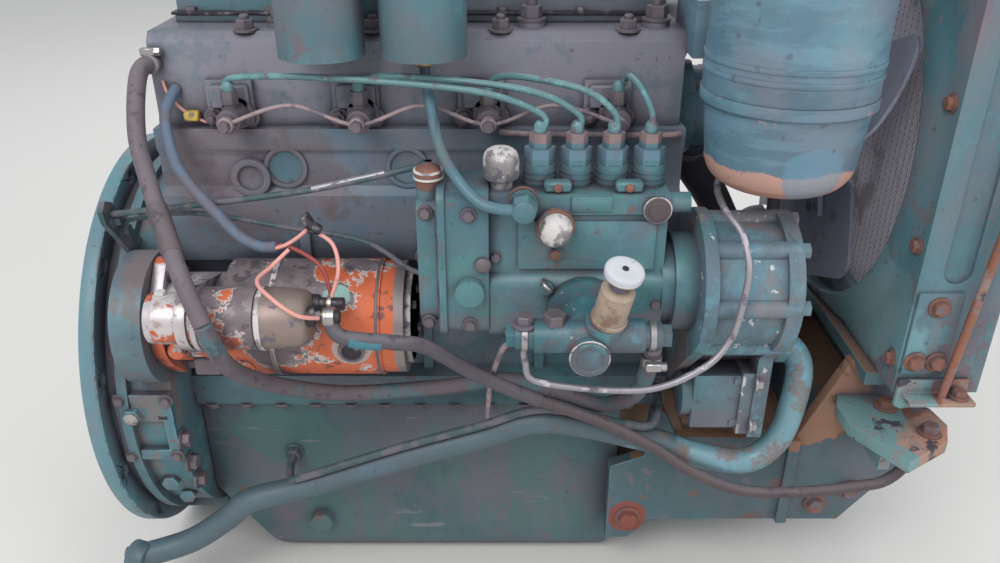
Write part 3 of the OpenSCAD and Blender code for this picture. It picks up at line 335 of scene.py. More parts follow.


# Paint, dirt and painted light and shade that change from place to place on one piece


def block_dirt(s):
    """Oil and dust on the upper half, cleaner paint along the sump rail."""
    upper = s.between(Z, 70, 400, 40)
    s.stain(upper, 9, (120, 122, 136), 81.0, rough=0.7, amount=0.66)
    s.spots(20, 0.53, 0.04, (90, 118, 134), 81.7, within=upper, rough=0.5, amount=0.65, **FINE)
    s.spots(16, 0.59, 0.04, (92, 82, 92), 81.9, rough=0.75, amount=0.5, **FINE)
    s.stain(s.near((168, -128, 245), 60, 40, (0.6, 1, 1)), 30, RUST, 82.0, rough=0.8, amount=0.35)
    s.stain(s.near((201.5, -131, 250), 16, 2), 60, (86, 116, 128), 83.0, reach=0.6, rough=0.45)


def head_dust_and_shade(s):
    """Pale dust over blue patches, a dusty lower edge, and painted shade on the faces that look up, for the
    shadow of the hood above.
    """
    s.stain(s.between(Z, 289, 380, 10), 12, (142, 136, 148), 84.0, rough=0.7, amount=0.75)
    s.spots(18, 0.56, 0.04, (88, 112, 122), 84.6, rough=0.6, amount=0.5, **FINE)
    s.spots(60, 0.5, 0.05, DUST, 85.0, detail=5.0, within=s.between(Y, -129, -126, 1), rough=0.8,
            amount=0.5)
    # Darker faces that look up: painted shade, the shadow of the hood above
    s.layer(s.facing(Z, 0.4, 0.9), SOOT_AND_SHADE, rough=0.6, amount=0.4)


def pump_marks(s):
    """A dark joint line, a pale painted sheen on the side, patches of bluer and greener paint, rust specks.
    """
    s.stain(s.between(X, 354, 357, 0.7), 40, SOOT_AND_SHADE, 86.0, reach=1.0)
    # Paler, glossier patch on the side: painted sheen
    s.stain(s.near((470, -240, 200), 46, 20, (0.7, 1, 1)), 30, TEAL_PALE, 87.0, rough=0.4, amount=0.3)
    s.spots(16, 0.52, 0.06, (74, 124, 122), 88.2, rough=0.45, amount=0.6, **FINE)
    s.spots(20, 0.52, 0.05, (80, 110, 128), 88.4, stretch=(1, 1, 0.6), rough=0.5, amount=0.45, **FINE)
    s.spots(13, 0.56, 0.06, (104, 102, 108), 88.8, rough=0.7, amount=0.6, **FINE)
    s.spots(60, 0.66, 0.02, RUST, 88.9, detail=7.0, rough=0.85, height=-0.4, amount=0.7)
    s.stain(s.between(Z, 122, 150, 14), 16, GRIME, 88.0, rough=0.7, amount=0.5)


def valve_bands(s):
    """Dull blue hexagons under nuts with rusty tops."""
    s.stain(s.between(Z, 288, 297, 1.4), 60, (94, 122, 140), 89.5, reach=1.4, rough=0.45, amount=0.7)
    s.stain(s.between(Z, 302, 312, 2), 70, (138, 110, 108), 89.7, reach=1.6, rough=0.75, amount=0.85)
    s.spots(90, 0.58, 0.04, GRIME, 89.0, detail=5.0, rough=0.7, amount=0.55)


def cleaner_marks(s):
    """Flaked spots along the lip, and a bare pink-brown bottom with blue paint left on it."""
    s.layer(s.between(Z, 337, 340, 1), TEAL_DARK, amount=0.7)
    s.spots(34, 0.63, 0.01, SALMON, 90.0, within=s.between(Z, 336, 349, 3), rough=0.8)
    s.spots(18, 0.52, 0.06, (116, 150, 168), 91.0, detail=5.0, stretch=(1, 1, 5),
            within=s.between(Z, 300, 540, 4), rough=0.35, amount=0.35)
    s.spots(14, 0.53, 0.06, (112, 122, 134), 91.7, rough=0.6, amount=0.6)
    s.stain(s.between(Z, 200, 292, 9), 26, (196, 146, 124), 92.0, reach=1.8, rough=0.8, amount=0.75)
    s.stain(s.between(Z, 200, 276, 5), 36, RUST_BRIGHT, 93.0, reach=1.6, rough=0.85, amount=0.5)
    s.stain(s.near((664, -276, 292), 26, 12), 40, (96, 136, 158), 93.5, reach=2.0, rough=0.5, amount=0.6)


def starter_marks(s):
    """Orange paint peeling over a white undercoat, thick on the underside, lost in oily dirt on top."""
    s.spots(14, 0.2, 0.01, (112, 100, 104), 94.0, detail=5.0, rough=0.6)
    s.spots(40, 0.52, 0.05, (150, 140, 140), 94.5, detail=5.0, rough=0.45, metal=0.4, amount=0.6)
    value = s.noise(24, 95.0, detail=9.0, torn=0.66)
    for region, more in ((s.both(s.between(X, 136, 236, 6), s.facing(Z, 0.0, 0.7)), -0.11),
                         (s.between(Z, 0, 104, 14), 0.08), (s.near((292, -236, 140), 46, 20), 0.05),
                         (s.near((252, -226, 160), 20, 8), -0.08), (s.between(X, 280, 340, 8), 0.03),
                         (s.near((170, -266, 146), 34, 12), 0.035)):
        value = s.math("ADD", value, s.both(region, more))
    s.layer(s.ramp(value, 0.472, 0.482), CHALK, rough=0.5)
    s.layer(s.ramp(value, 0.492, 0.502), ORANGE, rough=0.5, height=0.4)
    s.stain(s.both(s.between(X, 0, 149, 3), s.between(Z, 127, 174, 4)), 26, (200, 192, 194), 97.0,
            reach=1.2, rough=0.38, metal=0.5)
    s.stain(s.near((258, -226, 163), 17, 5), 60, MINT, 98.0, reach=1.4, rough=0.6)
    s.stain(s.near((271, -236, 106), 19, 7), 40, (176, 168, 166), 98.6, reach=1.6, rough=0.45, metal=0.3,
            amount=0.85)
    s.spots(55, 0.6, 0.03, SOOT_AND_SHADE, 99.0, rough=0.7, amount=0.7)
    s.stain(s.between(X, 311, 340, 3), 30, (150, 138, 136), 100.0, reach=1.4, rough=0.4, metal=0.5)


def nose_marks(s):
    """Bare silver end of the solenoid with orange patches left on it."""
    s.spots(14, 0.2, 0.01, (208, 200, 200), 94.0, detail=5.0, rough=0.38, metal=0.55)
    s.spots(30, 0.54, 0.015, ORANGE, 97.0, rough=0.5, height=0.3)
    s.spots(80, 0.58, 0.04, (150, 120, 116), 97.5, detail=7.0, rough=0.7, amount=0.6)


def shroud_flakes(s):
    """Paint that has flaked in sheets, down to a dark skin of dirt and rust, with streaks below, and a
    painted highlight along the opening's lower edge.
    """
    s.spots(17, 0.515, 0.008, (108, 100, 110), 101.0, detail=9.0, torn=0.74, stretch=(1, 1, 0.55),
            rough=0.8, height=-0.9)
    s.spots(48, 0.6, 0.01, (108, 104, 112), 101.7, rough=0.8, height=-0.6)
    s.spots(26, 0.56, 0.06, (126, 112, 112), 101.9, stretch=(1, 1, 0.22), rough=0.7, amount=0.5)
    s.spots(22, 0.61, 0.01, RUST, 102.0, rough=0.85, height=-0.4, **FINE)
    # Paler, glossier patch along the opening's lower edge: painted highlight
    s.stain(s.near((780, -140, 128), 70, 30, (1, 0.6, 1)), 24, (116, 158, 164), 103.0, reach=1.6,
            rough=0.35, amount=0.6)
    s.spots(9, 0.5, 0.06, (84, 118, 128), 104.0, stretch=(1, 1, 0.4), within=s.between(Z, 150, 520, 30),
            rough=0.45, amount=0.6)


def support_mud(s):
    """Orange-brown dust inside the support, and rust round its foot bolt."""
    s.stain(s.both(s.facing(Z, 0.3, 0.8), s.between(X, 560, 900, 20)), 12, MUD, 104.0, reach=1.4, rough=0.9)
    s.stain(s.near((558, -167, -161), 22, 6), 50, (128, 72, 62), 105.0, reach=1.2, rough=0.85)
    s.stain(s.near((742, -167, 0), 58, 22, (0.8, 0.6, 1)), 22, (152, 116, 96), 106.5, reach=1.8, rough=0.9)
    s.spots(20, 0.62, 0.01, RUST, 106.0, detail=9.0, rough=0.85, height=-0.4, amount=0.7)


def bracket_marks(s):
    """Pale paint at the back, and bare rusty ends with flakes."""
    s.stain(s.between(X, 700, 825, 10), 14, (112, 148, 150), 107.0, reach=1.6, rough=0.5)
    s.stain(s.near((845, -250, 20), 46, 20), 20, (176, 130, 108), 108.0, reach=2.4, rough=0.8, amount=0.85)
    s.spots(26, 0.54, 0.04, (140, 126, 122), 108.6, rough=0.8, amount=0.7, **FINE)
    s.spots(34, 0.6, 0.02, SOOT_AND_SHADE, 109.0, rough=0.8, height=-0.5)


def gasket_stains(s):
    """Broken white lines along the gaskets, and dirt below."""
    edges = s.math("MAXIMUM", s.between(X, 650, 653, 1), s.between(X, 662, 665, 1))
    s.spots(40, 0.5, 0.02, CHALK, 110.0, within=edges, rough=0.8, amount=0.85)
    s.stain(s.between(Z, -10, 20, 8), 26, GRIME, 111.0, reach=2.0, rough=0.7, amount=0.6)


def bell_marks(s):
    """Edges of the ribs worn bright, brown dirt between them."""
    s.stain(s.between(X, 17, 27, 2), 16, GRIME, 112.0, reach=1.4, rough=0.75, amount=0.8)
    s.spots(24, 0.55, 0.02, (122, 104, 98), 113.0, stretch=(1, 1, 0.5), rough=0.8, amount=0.6)
    s.stain(s.between(X, -1, 14, 1), 18, TEAL_PALE, 114.0, reach=1.2, rough=0.4, amount=0.5)


def sump_marks(s):
    """Green paint wiped clean in places, purple-brown dirt elsewhere, and fine scratches."""
    s.spots(8, 0.5, 0.05, GRIME, 115.0, detail=9.0, torn=0.75, stretch=(1, 1, 0.5), rough=0.75, amount=0.45)
    s.spots(9, 0.52, 0.05, (70, 104, 102), 115.6, detail=9.0, torn=0.74, stretch=(1, 1, 0.35), rough=0.5,
            amount=0.75)
    s.stain(s.near((170, -150, -62), 58, 40, (1, 0.6, 1.2)), 22, (72, 106, 102), 115.8, reach=3.2,
            rough=0.5, amount=0.8)
    s.spots(30, 0.66, 0.01, RUST, 116.0, rough=0.85, height=-0.4, amount=0.6)
    s.spots(70, 0.66, 0.01, DUST, 116.4, detail=6.0, stretch=(0.12, 1, 1), rough=0.6, amount=0.5)
    s.stain(s.between(Z, -20, 2, 3), 20, TEAL, 117.0, reach=1.0, rough=0.45, amount=0.6)


def case_marks(s):
    """Painted blue highlights in streaks, dark and brown dirt, a pale painted highlight across the middle
    of the case, and white flecks where sealant shows.
    """
    # Bright blue streaks: painted highlights
    s.spots(18, 0.53, 0.03, BLUE_BRIGHT, 120.0, stretch=(1, 1, 0.5), rough=0.4, amount=0.35)
    s.spots(22, 0.5, 0.05, (82, 84, 96), 121.5, detail=9.0, torn=0.72, rough=0.75, amount=0.65)
    s.spots(15, 0.53, 0.04, (126, 100, 94), 121.0, detail=9.0, stretch=(1, 1, 0.4), rough=0.8, amount=0.75)
    # Paler, glossier band across the middle of the case: painted highlight
    s.layer(s.both(s.between(Z, 120, 260, 30), s.between(X, 590, 700, 20)), (118, 146, 156), rough=0.4,
            amount=0.25)
    s.spots(80, 0.65, 0.01, CHALK, 122.0, rough=0.6, amount=0.8)


def pipe_marks(s):
    """Darker along the sump and lighter where it rises, with bright blue flecks and brown dirt in front."""
    s.layer(s.between(X, -20, 600, 60), (78, 88, 96), rough=0.6, amount=0.75)
    s.stain(s.between(X, 600, 760, 50), 22, (112, 150, 160), 125.0, reach=1.6, rough=0.4, amount=0.85)
    front = s.between(X, 540, 760, 30)
    s.spots(26, 0.6, 0.03, (112, 168, 194), 126.0, within=front, rough=0.35, amount=0.7)
    s.spots(22, 0.56, 0.03, (122, 98, 90), 127.0, within=front, rough=0.8, amount=0.7, **FINE)


def feed_marks(s):
    """Dark oily patches with white flecks."""
    s.spots(34, 0.5, 0.05, (84, 82, 90), 123.0, rough=0.6, amount=0.7)
    s.spots(110, 0.67, 0.02, CHALK, 124.0, rough=0.5, amount=0.6)


def fins(s):
    """Woven look of the radiator's fins: light edges as painted highlights on dark gaps of painted shade
    between them.
    """
    s.layer(s.stripes((0, 1, 0), 11, 0.24), (150, 144, 154), rough=0.5, height=2.0)
    rising = s.stripes((0, 1, 0.8), 5.5, 0.36)
    falling = s.stripes((0, 1, -0.8), 5.5, 0.36)
    s.layer(s.math("MAXIMUM", rising, falling), (232, 226, 236), rough=0.55, height=1.6)
    s.spots(14, 0.6, 0.05, DUST, 118.0, detail=7.0, rough=0.9, amount=0.6)


def core_metal(name, colour, seed):
    """Fins painted lighter on the fan's side, where the core sits in shade behind the shroud, and dull with
    road dirt in front.
    """
    s = Shader(name, colour, 0.6, metal=0.3)
    s.vary(20, 0.4, seed)
    # Paler fins on the fan's side: painted light, lifting the shade behind the shroud
    s.layer(s.between(X, 780, 825, 5), (212, 202, 216), rough=0.6)
    fins(s)
    s.layer(s.between(X, 840, 880, 5), (84, 80, 84), rough=0.8, amount=0.75)
    s.done(bump=0.8)


def blade(name, seed, edge=False):
    """Grey paint of the fan's blades; the edge version is paler all along the rounded edges, a painted
    highlight.
    """
    # The paler edge colour is a painted highlight on the blades' rounded edges
    s = Shader(name, (184, 186, 194) if edge else (132, 136, 154), 0.5, specular=0.4)
    s.vary(12, 0.5, seed)
    s.spots(30, 0.6, 0.04, RUST, seed + 1.0, detail=5.0, rough=0.85, amount=0.5)
    s.spots(9, 0.56, 0.1, DUST, seed + 2.0, rough=0.85, amount=0.3)
    s.done(bump=0.3)


def paint_pair(name, *colours, **kind):
    """A paint, and the same paint as it wears on edges."""
    grimy_paint(name, *colours, **kind)
    grimy_paint(name + "_edge", *colours, edge=True, **kind)


paint_pair("teal", TEAL, TEAL_PALE)
paint_pair("block", TEAL, TEAL_PALE, dirt=0.5, local=block_dirt)
paint_pair("head", TEAL, TEAL_PALE, dirt=0.54, seed=5.0, local=head_dust_and_shade)
paint_pair("dark", TEAL_DARK, TEAL, dirt=0.46, seed=11.0, local=support_mud)
paint_pair("sump", TEAL_DARK, TEAL, dirt=0.46, seed=13.0, local=sump_marks)
paint_pair("bell", TEAL, TEAL_PALE, dirt=0.5, seed=17.0, local=bell_marks)
paint_pair("blue", TEAL_BLUE, TEAL_PALE, dirt=0.4, chips=0.68, rust=0.7, seed=23.0)
paint_pair("cleaner", TEAL_BLUE, TEAL_PALE, dirt=0.42, chips=0.69, rust=0.72, seed=27.0,
           local=cleaner_marks)
paint_pair("case", TEAL, TEAL_PALE, dirt=0.42, seed=25.0, local=case_marks)
paint_pair("feed", (54, 98, 106), TEAL_PALE, dirt=0.46, chips=0.6, seed=33.0, local=feed_marks)
paint_pair("nose", ORANGE, ORANGE_PALE, dirt=0.4, chips=0.66, rust=0.7, seed=55.0, local=nose_marks)
paint_pair("valves", TEAL, TEAL_PALE, dirt=0.4, chips=0.7, seed=29.0, local=valve_bands)
paint_pair("pump", TEAL_GREEN, TEAL_PALE, dirt=0.4, chips=0.7, rust=0.72, seed=31.0, local=pump_marks)
paint_pair("hydraulic", TEAL, TEAL_PALE, dirt=0.48, seed=35.0, local=gasket_stains)
paint_pair("shroud", TEAL, TEAL_PALE, dirt=0.44, seed=37.0, local=shroud_flakes)
paint_pair("orange", ORANGE, ORANGE_PALE, dirt=0.44, chips=0.6, seed=53.0, local=starter_marks)
paint_pair("bracket", (132, 84, 64), RUST_BRIGHT, dirt=0.46, chips=0.58, seed=57.0, local=bracket_marks)
paint_pair("pipe", TEAL, BLUE_BRIGHT, dirt=0.4, chips=0.64, rust=0.64, seed=63.0, local=pipe_marks)
blade("blade", 119.0)
blade("blade_edge", 119.0, edge=True)
metal("iron", IRON, 0.55, 41.0, shine=0.4)
metal("steel", BARE, 0.35, 43.0, cover=0.6)
metal("brass", (176, 146, 96), 0.4, 45.0, cover=0.58)
rusty("rust", 47.0)
flaking("silver", (158, 152, 152), (200, 194, 192), 49.0, 0.6)
flaking("orange_flakes", BARE, ORANGE, 51.0, 0.3, above=0.46)
rubber("rubber", RUBBER, 59.0)
rubber("hose", (104, 94, 100), 60.0, dust=0.3)
rubber("hose_teal", (100, 92, 98), 62.0, dust=0.2, paint=TEAL)
rubber("cable", (86, 82, 88), 64.0)
rubber("sleeve", (84, 74, 76), 65.0)
plain("loom", (96, 112, 132), 0.7, 61.0, above=0.5)
plain("tape", (62, 118, 130), 0.5, 66.0)
plain("black", (44, 40, 46), 0.5, 68.0, dirt=DUST)
plain("pink", (222, 158, 148), 0.6, 70.0, above=0.66)
plain("red", (150, 70, 66), 0.6, 72.0, above=0.62)
plain("yellow", (212, 180, 84), 0.5, 74.0, above=0.6)
plain("primer", (160, 142, 126), 0.5, 67.0, above=0.6, dirt=(126, 96, 84))
plain("pale", (194, 196, 200), 0.5, 69.0, above=0.62, dirt=(150, 128, 108))
plain("chalk", CHALK, 0.7, 73.0, above=0.56)
flaking("green_pipe", (92, 128, 132), (106, 148, 150), 75.0, 0.1, above=0.56)
flaking("silver_pipe", (156, 152, 158), (184, 182, 186), 76.0, 0.6, above=0.6)
plain("thin_pipe", (152, 134, 134), 0.6, 77.0, above=0.52)
plain("dark_pipe", (64, 84, 86), 0.6, 78.0, above=0.5)
core_metal("core", (104, 98, 104), 71.0)
metal("cover", (146, 130, 122), 0.5, 79.0, cover=0.56, shine=0.5)

# What each piece of the frame is painted with

FINISH = {
    "teal": ["rocker_cover", "fuel_filters", "intake_manifold"],
    "case": ["timing_case"],
    "feed": ["feed_pump"],
    "block": ["block"],
    "head": ["head"],
    "sump": ["sump"],
    "bell": ["bell_housing", "bell_flange", "bell_frame"],
    "dark": ["front_support", "support_slope", "support_front", "radiator_shelf", "support_sides"],
    "shroud": ["fan_shroud", "radiator_tanks"],
    "blue": ["water_pump"],
    "cleaner": ["air_cleaner", "air_cleaner_bowl"],
    "valves": ["delivery_valves"],
    "pump": ["injection_pump", "governor"],
    "hydraulic": ["hydraulic_pump"],
    "bracket": ["side_brackets"],
    "iron": ["injectors", "crank_pulley", "fan_hub", "flywheel", "clutch_cover", "dynamo", "dynamo_pulley"],
    "steel": ["crankshaft", "ring_gear", "radiator_cap"],
    "rust": ["oil_filler", "oil_filter", "exhaust_manifold"],
    "orange": ["starter_motor"],
    "blade": ["fan_blades"],
    "rubber": ["fan_belt"],
    "core": ["radiator_core"],
}

# How castings are welded, rounded and shaded: lengths in metres and millimetres, angles in degrees

WELD_GAP = 0.00002
SHARP_EDGE = 35
SHARP_FITTING = 38
ROUND_ABOVE = 38
ROUND_MM = 1.6
THIN = {"fan_blades": 0.6, "fan_shroud": 0.8, "ring_gear": 0.4, "delivery_valves": 0.8, "injectors": 0.8}


def group_for(name, build):
    """A geometry node group with one geometry in and one out."""
    group = bpy.data.node_groups.new(name, "GeometryNodeTree")
    group.interface.new_socket("Geometry", in_out="INPUT", socket_type="NodeSocketGeometry")
    group.interface.new_socket("Geometry", in_out="OUTPUT", socket_type="NodeSocketGeometry")
    start = group.nodes.new("NodeGroupInput").outputs[0]
    end = group.nodes.new("NodeGroupOutput").inputs[0]
    group.links.new(build(group, start), end)
    return group


def weld_nodes(group, geometry):
    """Joins the points that neighbouring faces share."""
    merge = group.nodes.new("GeometryNodeMergeByDistance")
    merge.inputs["Distance"].default_value = WELD_GAP
    group.links.new(geometry, merge.inputs["Geometry"])
    return merge.outputs[0]


def shade_nodes(group, geometry):
    """Smooth shading, apart from edges sharper than SHARP_EDGE degrees."""
    clear = group.nodes.new("GeometryNodeRemoveAttribute")
    clear.inputs["Name"].default_value = "custom_normal"
    faces = group.nodes.new("GeometryNodeSetShadeSmooth")
    edges = group.nodes.new("GeometryNodeSetShadeSmooth")
    edges.domain = "EDGE"
    edges.inputs["Shade Smooth"].default_value = False
    over = group.nodes.new("FunctionNodeCompare")
    over.operation = "GREATER_THAN"
    over.inputs[1].default_value = math.radians(SHARP_EDGE)
    angle = group.nodes.new("GeometryNodeInputMeshEdgeAngle")
    group.links.new(angle.outputs[0], over.inputs[0])
    group.links.new(over.outputs[0], edges.inputs["Selection"])
    group.links.new(geometry, clear.inputs["Geometry"])
    group.links.new(clear.outputs[0], faces.inputs["Geometry"])
    group.links.new(faces.outputs[0], edges.inputs["Geometry"])
    return edges.outputs[0]


WELD = group_for("weld", weld_nodes)
SHADE = group_for("shade", shade_nodes)


def dress(node, finish):
    """Gives a piece of the frame its finish, and rounds its edges as a casting's are."""
    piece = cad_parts[node]
    piece.data.materials.clear()
    piece.data.materials.append(MATERIAL[finish])
    if finish + "_edge" in MATERIAL:
        piece.data.materials.append(MATERIAL[finish + "_edge"])
    piece.modifiers.new("weld", "NODES").node_group = WELD
    rounded = piece.modifiers.new("round", "BEVEL")
    rounded.width = THIN.get(node, ROUND_MM) * MM
    rounded.segments = 2
    rounded.limit_method = "ANGLE"
    rounded.angle_limit = math.radians(ROUND_ABOVE)
    rounded.material = len(piece.data.materials) - 1
    piece.modifiers.new("shade", "NODES").node_group = SHADE


for finish, names in FINISH.items():
    for node in names:
        dress(node, finish)


# Pieces that are built here. A tube's end is rounded by shares of its radius.

LIP = 0.15
LIP_WIDTH = 0.8


def catmull(route, steps):
    """Points along a smooth curve through the route's points."""
    line = []
    for i in range(len(route) - 1):
        a, b, c, d = route[max(i - 1, 0)], route[i], route[i + 1], route[min(i + 2, len(route) - 1)]
        for k in range(steps):
            t = k / steps
            line.append(0.5 * (2 * b + (c - a) * t + (2 * a - 5 * b + 4 * c - d) * t * t
                               + (3 * b - a - 3 * c + d) * t ** 3))
    return line + [route[-1]]


def round_angles(sides):
    """Angles that go once round, evenly."""
    return [k * 2 * math.pi / sides for k in range(sides)]


def circle(axis, x, radius, angles):
    """Places round an axis that is given as (y, z), at angles from +y towards +z."""
    ways = [(math.cos(math.radians(a)), math.sin(math.radians(a))) for a in angles]
    return [(x, axis[0] + radius * y, axis[1] + radius * z) for y, z in ways]


class Piece:
    """One object, built up from rings and hulls of points in millimetres."""

    def __init__(self, name, body="engine"):
        self.name = name
        self.body = body
        self.points = []
        self.faces = []
        self.paints = []
        self.finishes = []

    def paint(self, finish):
        """What the faces that follow are finished with."""
        if finish not in self.finishes:
            self.finishes.append(finish)
        self.use = self.finishes.index(finish)
        return self

    def add(self, points, faces):
        """Adds points, and faces that count from the first of them."""
        first = len(self.points)
        self.points += points
        self.faces += [[first + i for i in face] for face in faces]
        self.paints += [self.use] * len(faces)
        return self

    def rings(self, rings):
        """A skin over rings of points, closed at both ends."""
        count = len(rings[0])
        faces = [list(range(count))[::-1], [(len(rings) - 1) * count + k for k in range(count)]]
        for r in range(len(rings) - 1):
            for k in range(count):
                a, b = r * count + k, r * count + (k + 1) % count
                faces.append([a, b, b + count, a + count])
        return self.add([p for ring in rings for p in ring], faces)

    def hull(self, points):
        """The convex hull of some points."""
        shape = bmesh.new()
        for p in points:
            shape.verts.new(p)
        bmesh.ops.convex_hull(shape, input=shape.verts)
        bmesh.ops.dissolve_limit(shape, angle_limit=math.radians(1), verts=shape.verts, edges=shape.edges)
        shape.verts.index_update()
        self.add([v.co.copy() for v in shape.verts], [[v.index for v in f.verts] for f in shape.faces])
        shape.free()
        return self

    def turned(self, profile, at, axis, sides=32, spin=0.0):
        """A turned solid: distances along an axis, and the radius at each."""
        spun = Matrix.Rotation(math.radians(spin), 3, "Z")
        turn = Vector(axis).to_track_quat("Z", "Y").to_matrix() @ spun
        return self.rings([[Vector(at) + turn @ Vector((radius * math.cos(a), radius * math.sin(a), height))
                            for a in round_angles(sides)] for height, radius in profile])

    def slab(self, low, high, soft=1.2, turn=None):
        """A box with its edges cut off, turned about its centre where a turn is given."""
        centre = (Vector(low) + Vector(high)) / 2
        half = (Vector(high) - Vector(low)) / 2
        corners = []
        for signs in product((-1, 1), repeat=3):
            for axis in range(3):
                reach = Vector([half[i] - (soft if i != axis else 0) for i in range(3)])
                corners.append(reach * Vector(signs))
        spin = turn or Matrix.Identity(3)
        return self.hull([centre + spin @ c for c in corners])

    def tube(self, route, radius, sides=14, steps=5):
        """A round tube along a smooth curve, its ends a little rounded."""
        line = catmull([Vector(p) for p in route], steps)
        after = line[1:] + line[-1:]
        before = line[:1] + line[:-1]
        heads = [(b - a).normalized() for a, b in zip(before, after)]
        side = heads[0].orthogonal().normalized()
        rings = []
        for at, head in zip(line, heads):
            side = (side - side.dot(head) * head).normalized()
            other = head.cross(side)
            rings.append([at + radius * (math.cos(a) * side + math.sin(a) * other)
                          for a in round_angles(sides)])
        for end, back in ((0, 1), (-1, -2)):
            middle = line[end]
            lip = (line[back] - middle).normalized() * -LIP * radius
            cap = [middle + lip + (p - middle) * LIP_WIDTH for p in rings[end]]
            rings.insert(0 if end == 0 else len(rings), cap)
        return self.rings(rings)

    def band(self, at, axis, radius, width, thick=1.2, screw=None):
        """A hose clip or a band round a pipe, with its screw towards a direction where one is given."""
        axis = Vector(axis).normalized()
        half = width / 2
        edge = radius + thick
        self.turned([(-half, radius - 1), (-half, edge - 0.3), (-half + 0.4, edge), (half - 0.4, edge),
                     (half, edge - 0.3), (half, radius - 1)], at, axis, sides=40)
        if screw:
            up = Vector(screw).normalized()
            across = axis.cross(up)
            place = Vector(at) + up * (edge + 2)
            turn = Matrix((across, axis, up)).transposed()
            self.slab(place - Vector((7, half, 3.5)), place + Vector((7, half, 3.5)), 1, turn)
            self.turned([(0, 4), (5, 4), (5.6, 3.4)], place + across * 6, across, sides=6)
        return self

    def bolt(self, at, axis, flats, height, washer=1.6, stud=0):
        """A hexagon head on a washer, with the end of a stud where one is given."""
        if washer:
            wide = flats * 0.78
            self.turned([(-0.6, wide), (washer, wide), (washer + 0.3, flats * 0.74)], at, axis, 24)
        tip = flats / math.sqrt(3)
        top = washer + height
        self.turned([(washer - 0.2, tip), (top - 1, tip), (top, tip * 0.88)], at, axis, 6, spin=sum(at) * 7)
        if stud:
            self.turned([(top - 1, flats * 0.3), (top + stud - 1, flats * 0.3), (top + stud, flats * 0.22)],
                        at, axis, 16)
        return self

    def bolts(self, places, axis, flats, height, **kind):
        """The same bolt at several places."""
        for at in places:
            self.bolt(at, axis, flats, height, **kind)
        return self

    def finish(self, slot, replaces=()):
        """Makes the object, on its body; its slot is not used."""
        mesh = bpy.data.meshes.new(self.name)
        mesh.from_pydata([Vector(p) * MM for p in self.points], [], self.faces)
        for finish in self.finishes:
            mesh.materials.append(MATERIAL[finish])
        mesh.polygons.foreach_set("material_index", self.paints)
        mesh.polygons.foreach_set("use_smooth", [True] * len(mesh.polygons))
        mesh.set_sharp_from_angle(angle=math.radians(SHARP_FITTING))
        piece = bpy.data.objects.new(self.name, mesh)
        scene.collection.objects.link(piece)
        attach(piece, self.body)
        if replaces:
            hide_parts(*replaces)


UP, DOWN, RIGHT, LEFT, FORWARD, BACK = (0, 0, 1), (0, 0, -1), (0, -1, 0), (0, 1, 0), (1, 0, 0), (-1, 0, 0)

# Stations along the engine, in millimetres

PITCH = 119
CYLINDERS = [155.5 + PITCH * i for i in range(4)]
INJECTORS = [162.5 + PITCH * i for i in range(4)]
ELEMENTS = [446, 478, 510, 542]
ELEMENT_Y = -208

# Axes along x, as (y, z)

CRANK = (0, 0)
STARTER = (-180, 112)
SOLENOID = (-255.8, 152.1)
DYNAMO = (198, 215)
FAN = (0, 275)
FEED_PUMP = (-290, 154)

# Upright axes, as (x, y)

GOVERNOR_CAP = (348.5, -222)
OIL_FILTER = (274, 197)

# Places that several fittings share

FEED_UNION = (431, -238, 258)
FEED_CAP = (487, -312, 144)
PRIMER_SEAT = (500, *FEED_PUMP)
PUMP_PLUG = (547, -242, 251)
SIGHT_PLUG = (271, -234.5, 106)
SIGHT_WAY = (0, -1, -0.1)
STUD_YS = (-243.8, -267.8)

# Pipes and hoses

pipe = Piece("suction_line").paint("pipe")
pipe.tube([(690, -178, 78), (706, -180, 75), (716, -188, 56), (712, -198, 20), (700, -203, -24),
           (670, -205, -49), (622, -205, -42), (557, -205, -19), (458, -200, -1), (390, -195, -26),
           (304, -195, -54), (193, -195, -94), (138, -200, -108), (106, -200, -136), (63, -205, -163),
           (2, -222, -172)], 13.5, sides=24, steps=8)
pipe.turned([(0, 17.5), (0.8, 18.5), (13, 18.5), (14, 17)], (689, -178, 78), FORWARD, 6)
pipe.band((14, -219, -171), (-1, 0.27, 0.1), 13.5, 20, 3)
pipe.paint("dark_pipe")
pipe.tube([(578, -152.3, 8), (578, -175, 8), (572, -200, 4), (554, -212, 0), (458, -207, 18),
           (390, -202, -7), (304, -202, -35), (200, -202, -74), (184, -192, -84), (177, -165, -88),
           (176, -140.3, -88)], 4.5)
pipe.bolts([(578, -152, 8), (176, -140, -88)], RIGHT, 14, 9)
pipe.finish("blue_paint", ["suction_pipe"])

fuel = Piece("fuel_lines").paint("silver_pipe")
fuel.tube([(432, -290, 142), (433, -291, 128), (447, -292, 107), (536, -298, 103), (588, -292, 121),
           (612, -285, 147), (619, -284, 183), (621, -279, 214), (616, -262, 238), (606, -236, 250),
           (612, -180, 252), (634, -138, 256), (640, -125, 300), (632, -125, 400), (590, -142, 450),
           (404.5, -166, 484), (376.5, -166, 484)], 3.1, steps=8)
fuel.paint("pump")
fuel.tube([(431, -261, 258), (410, -262, 260), (392, -257, 265), (373, -240, 281), (359, -215, 298),
           (350, -185, 325), (344.5, -166, 352), (344.5, -166, 367)], 5, steps=8)
fuel.turned([(0, 12), (26, 12), (28, 10.5)], FEED_UNION, RIGHT, 6, spin=12)
fuel.turned([(7, 12.6), (13, 12.6)], FEED_UNION, RIGHT, 24)
fuel.turned([(27, 10), (29, 9.6), (30, 8)], FEED_UNION, RIGHT, 28)
fuel.paint("rust").turned([(-1, 13.2), (1.4, 13.2), (2, 12.6)], FEED_UNION, RIGHT, 28)
fuel.paint("brass").bolt((376.5, -166, 484), BACK, 14, 9)
fuel.bolt((344.5, -166, 367), DOWN, 14, 8)
fuel.finish("bare_steel", ["fuel_pipes"])

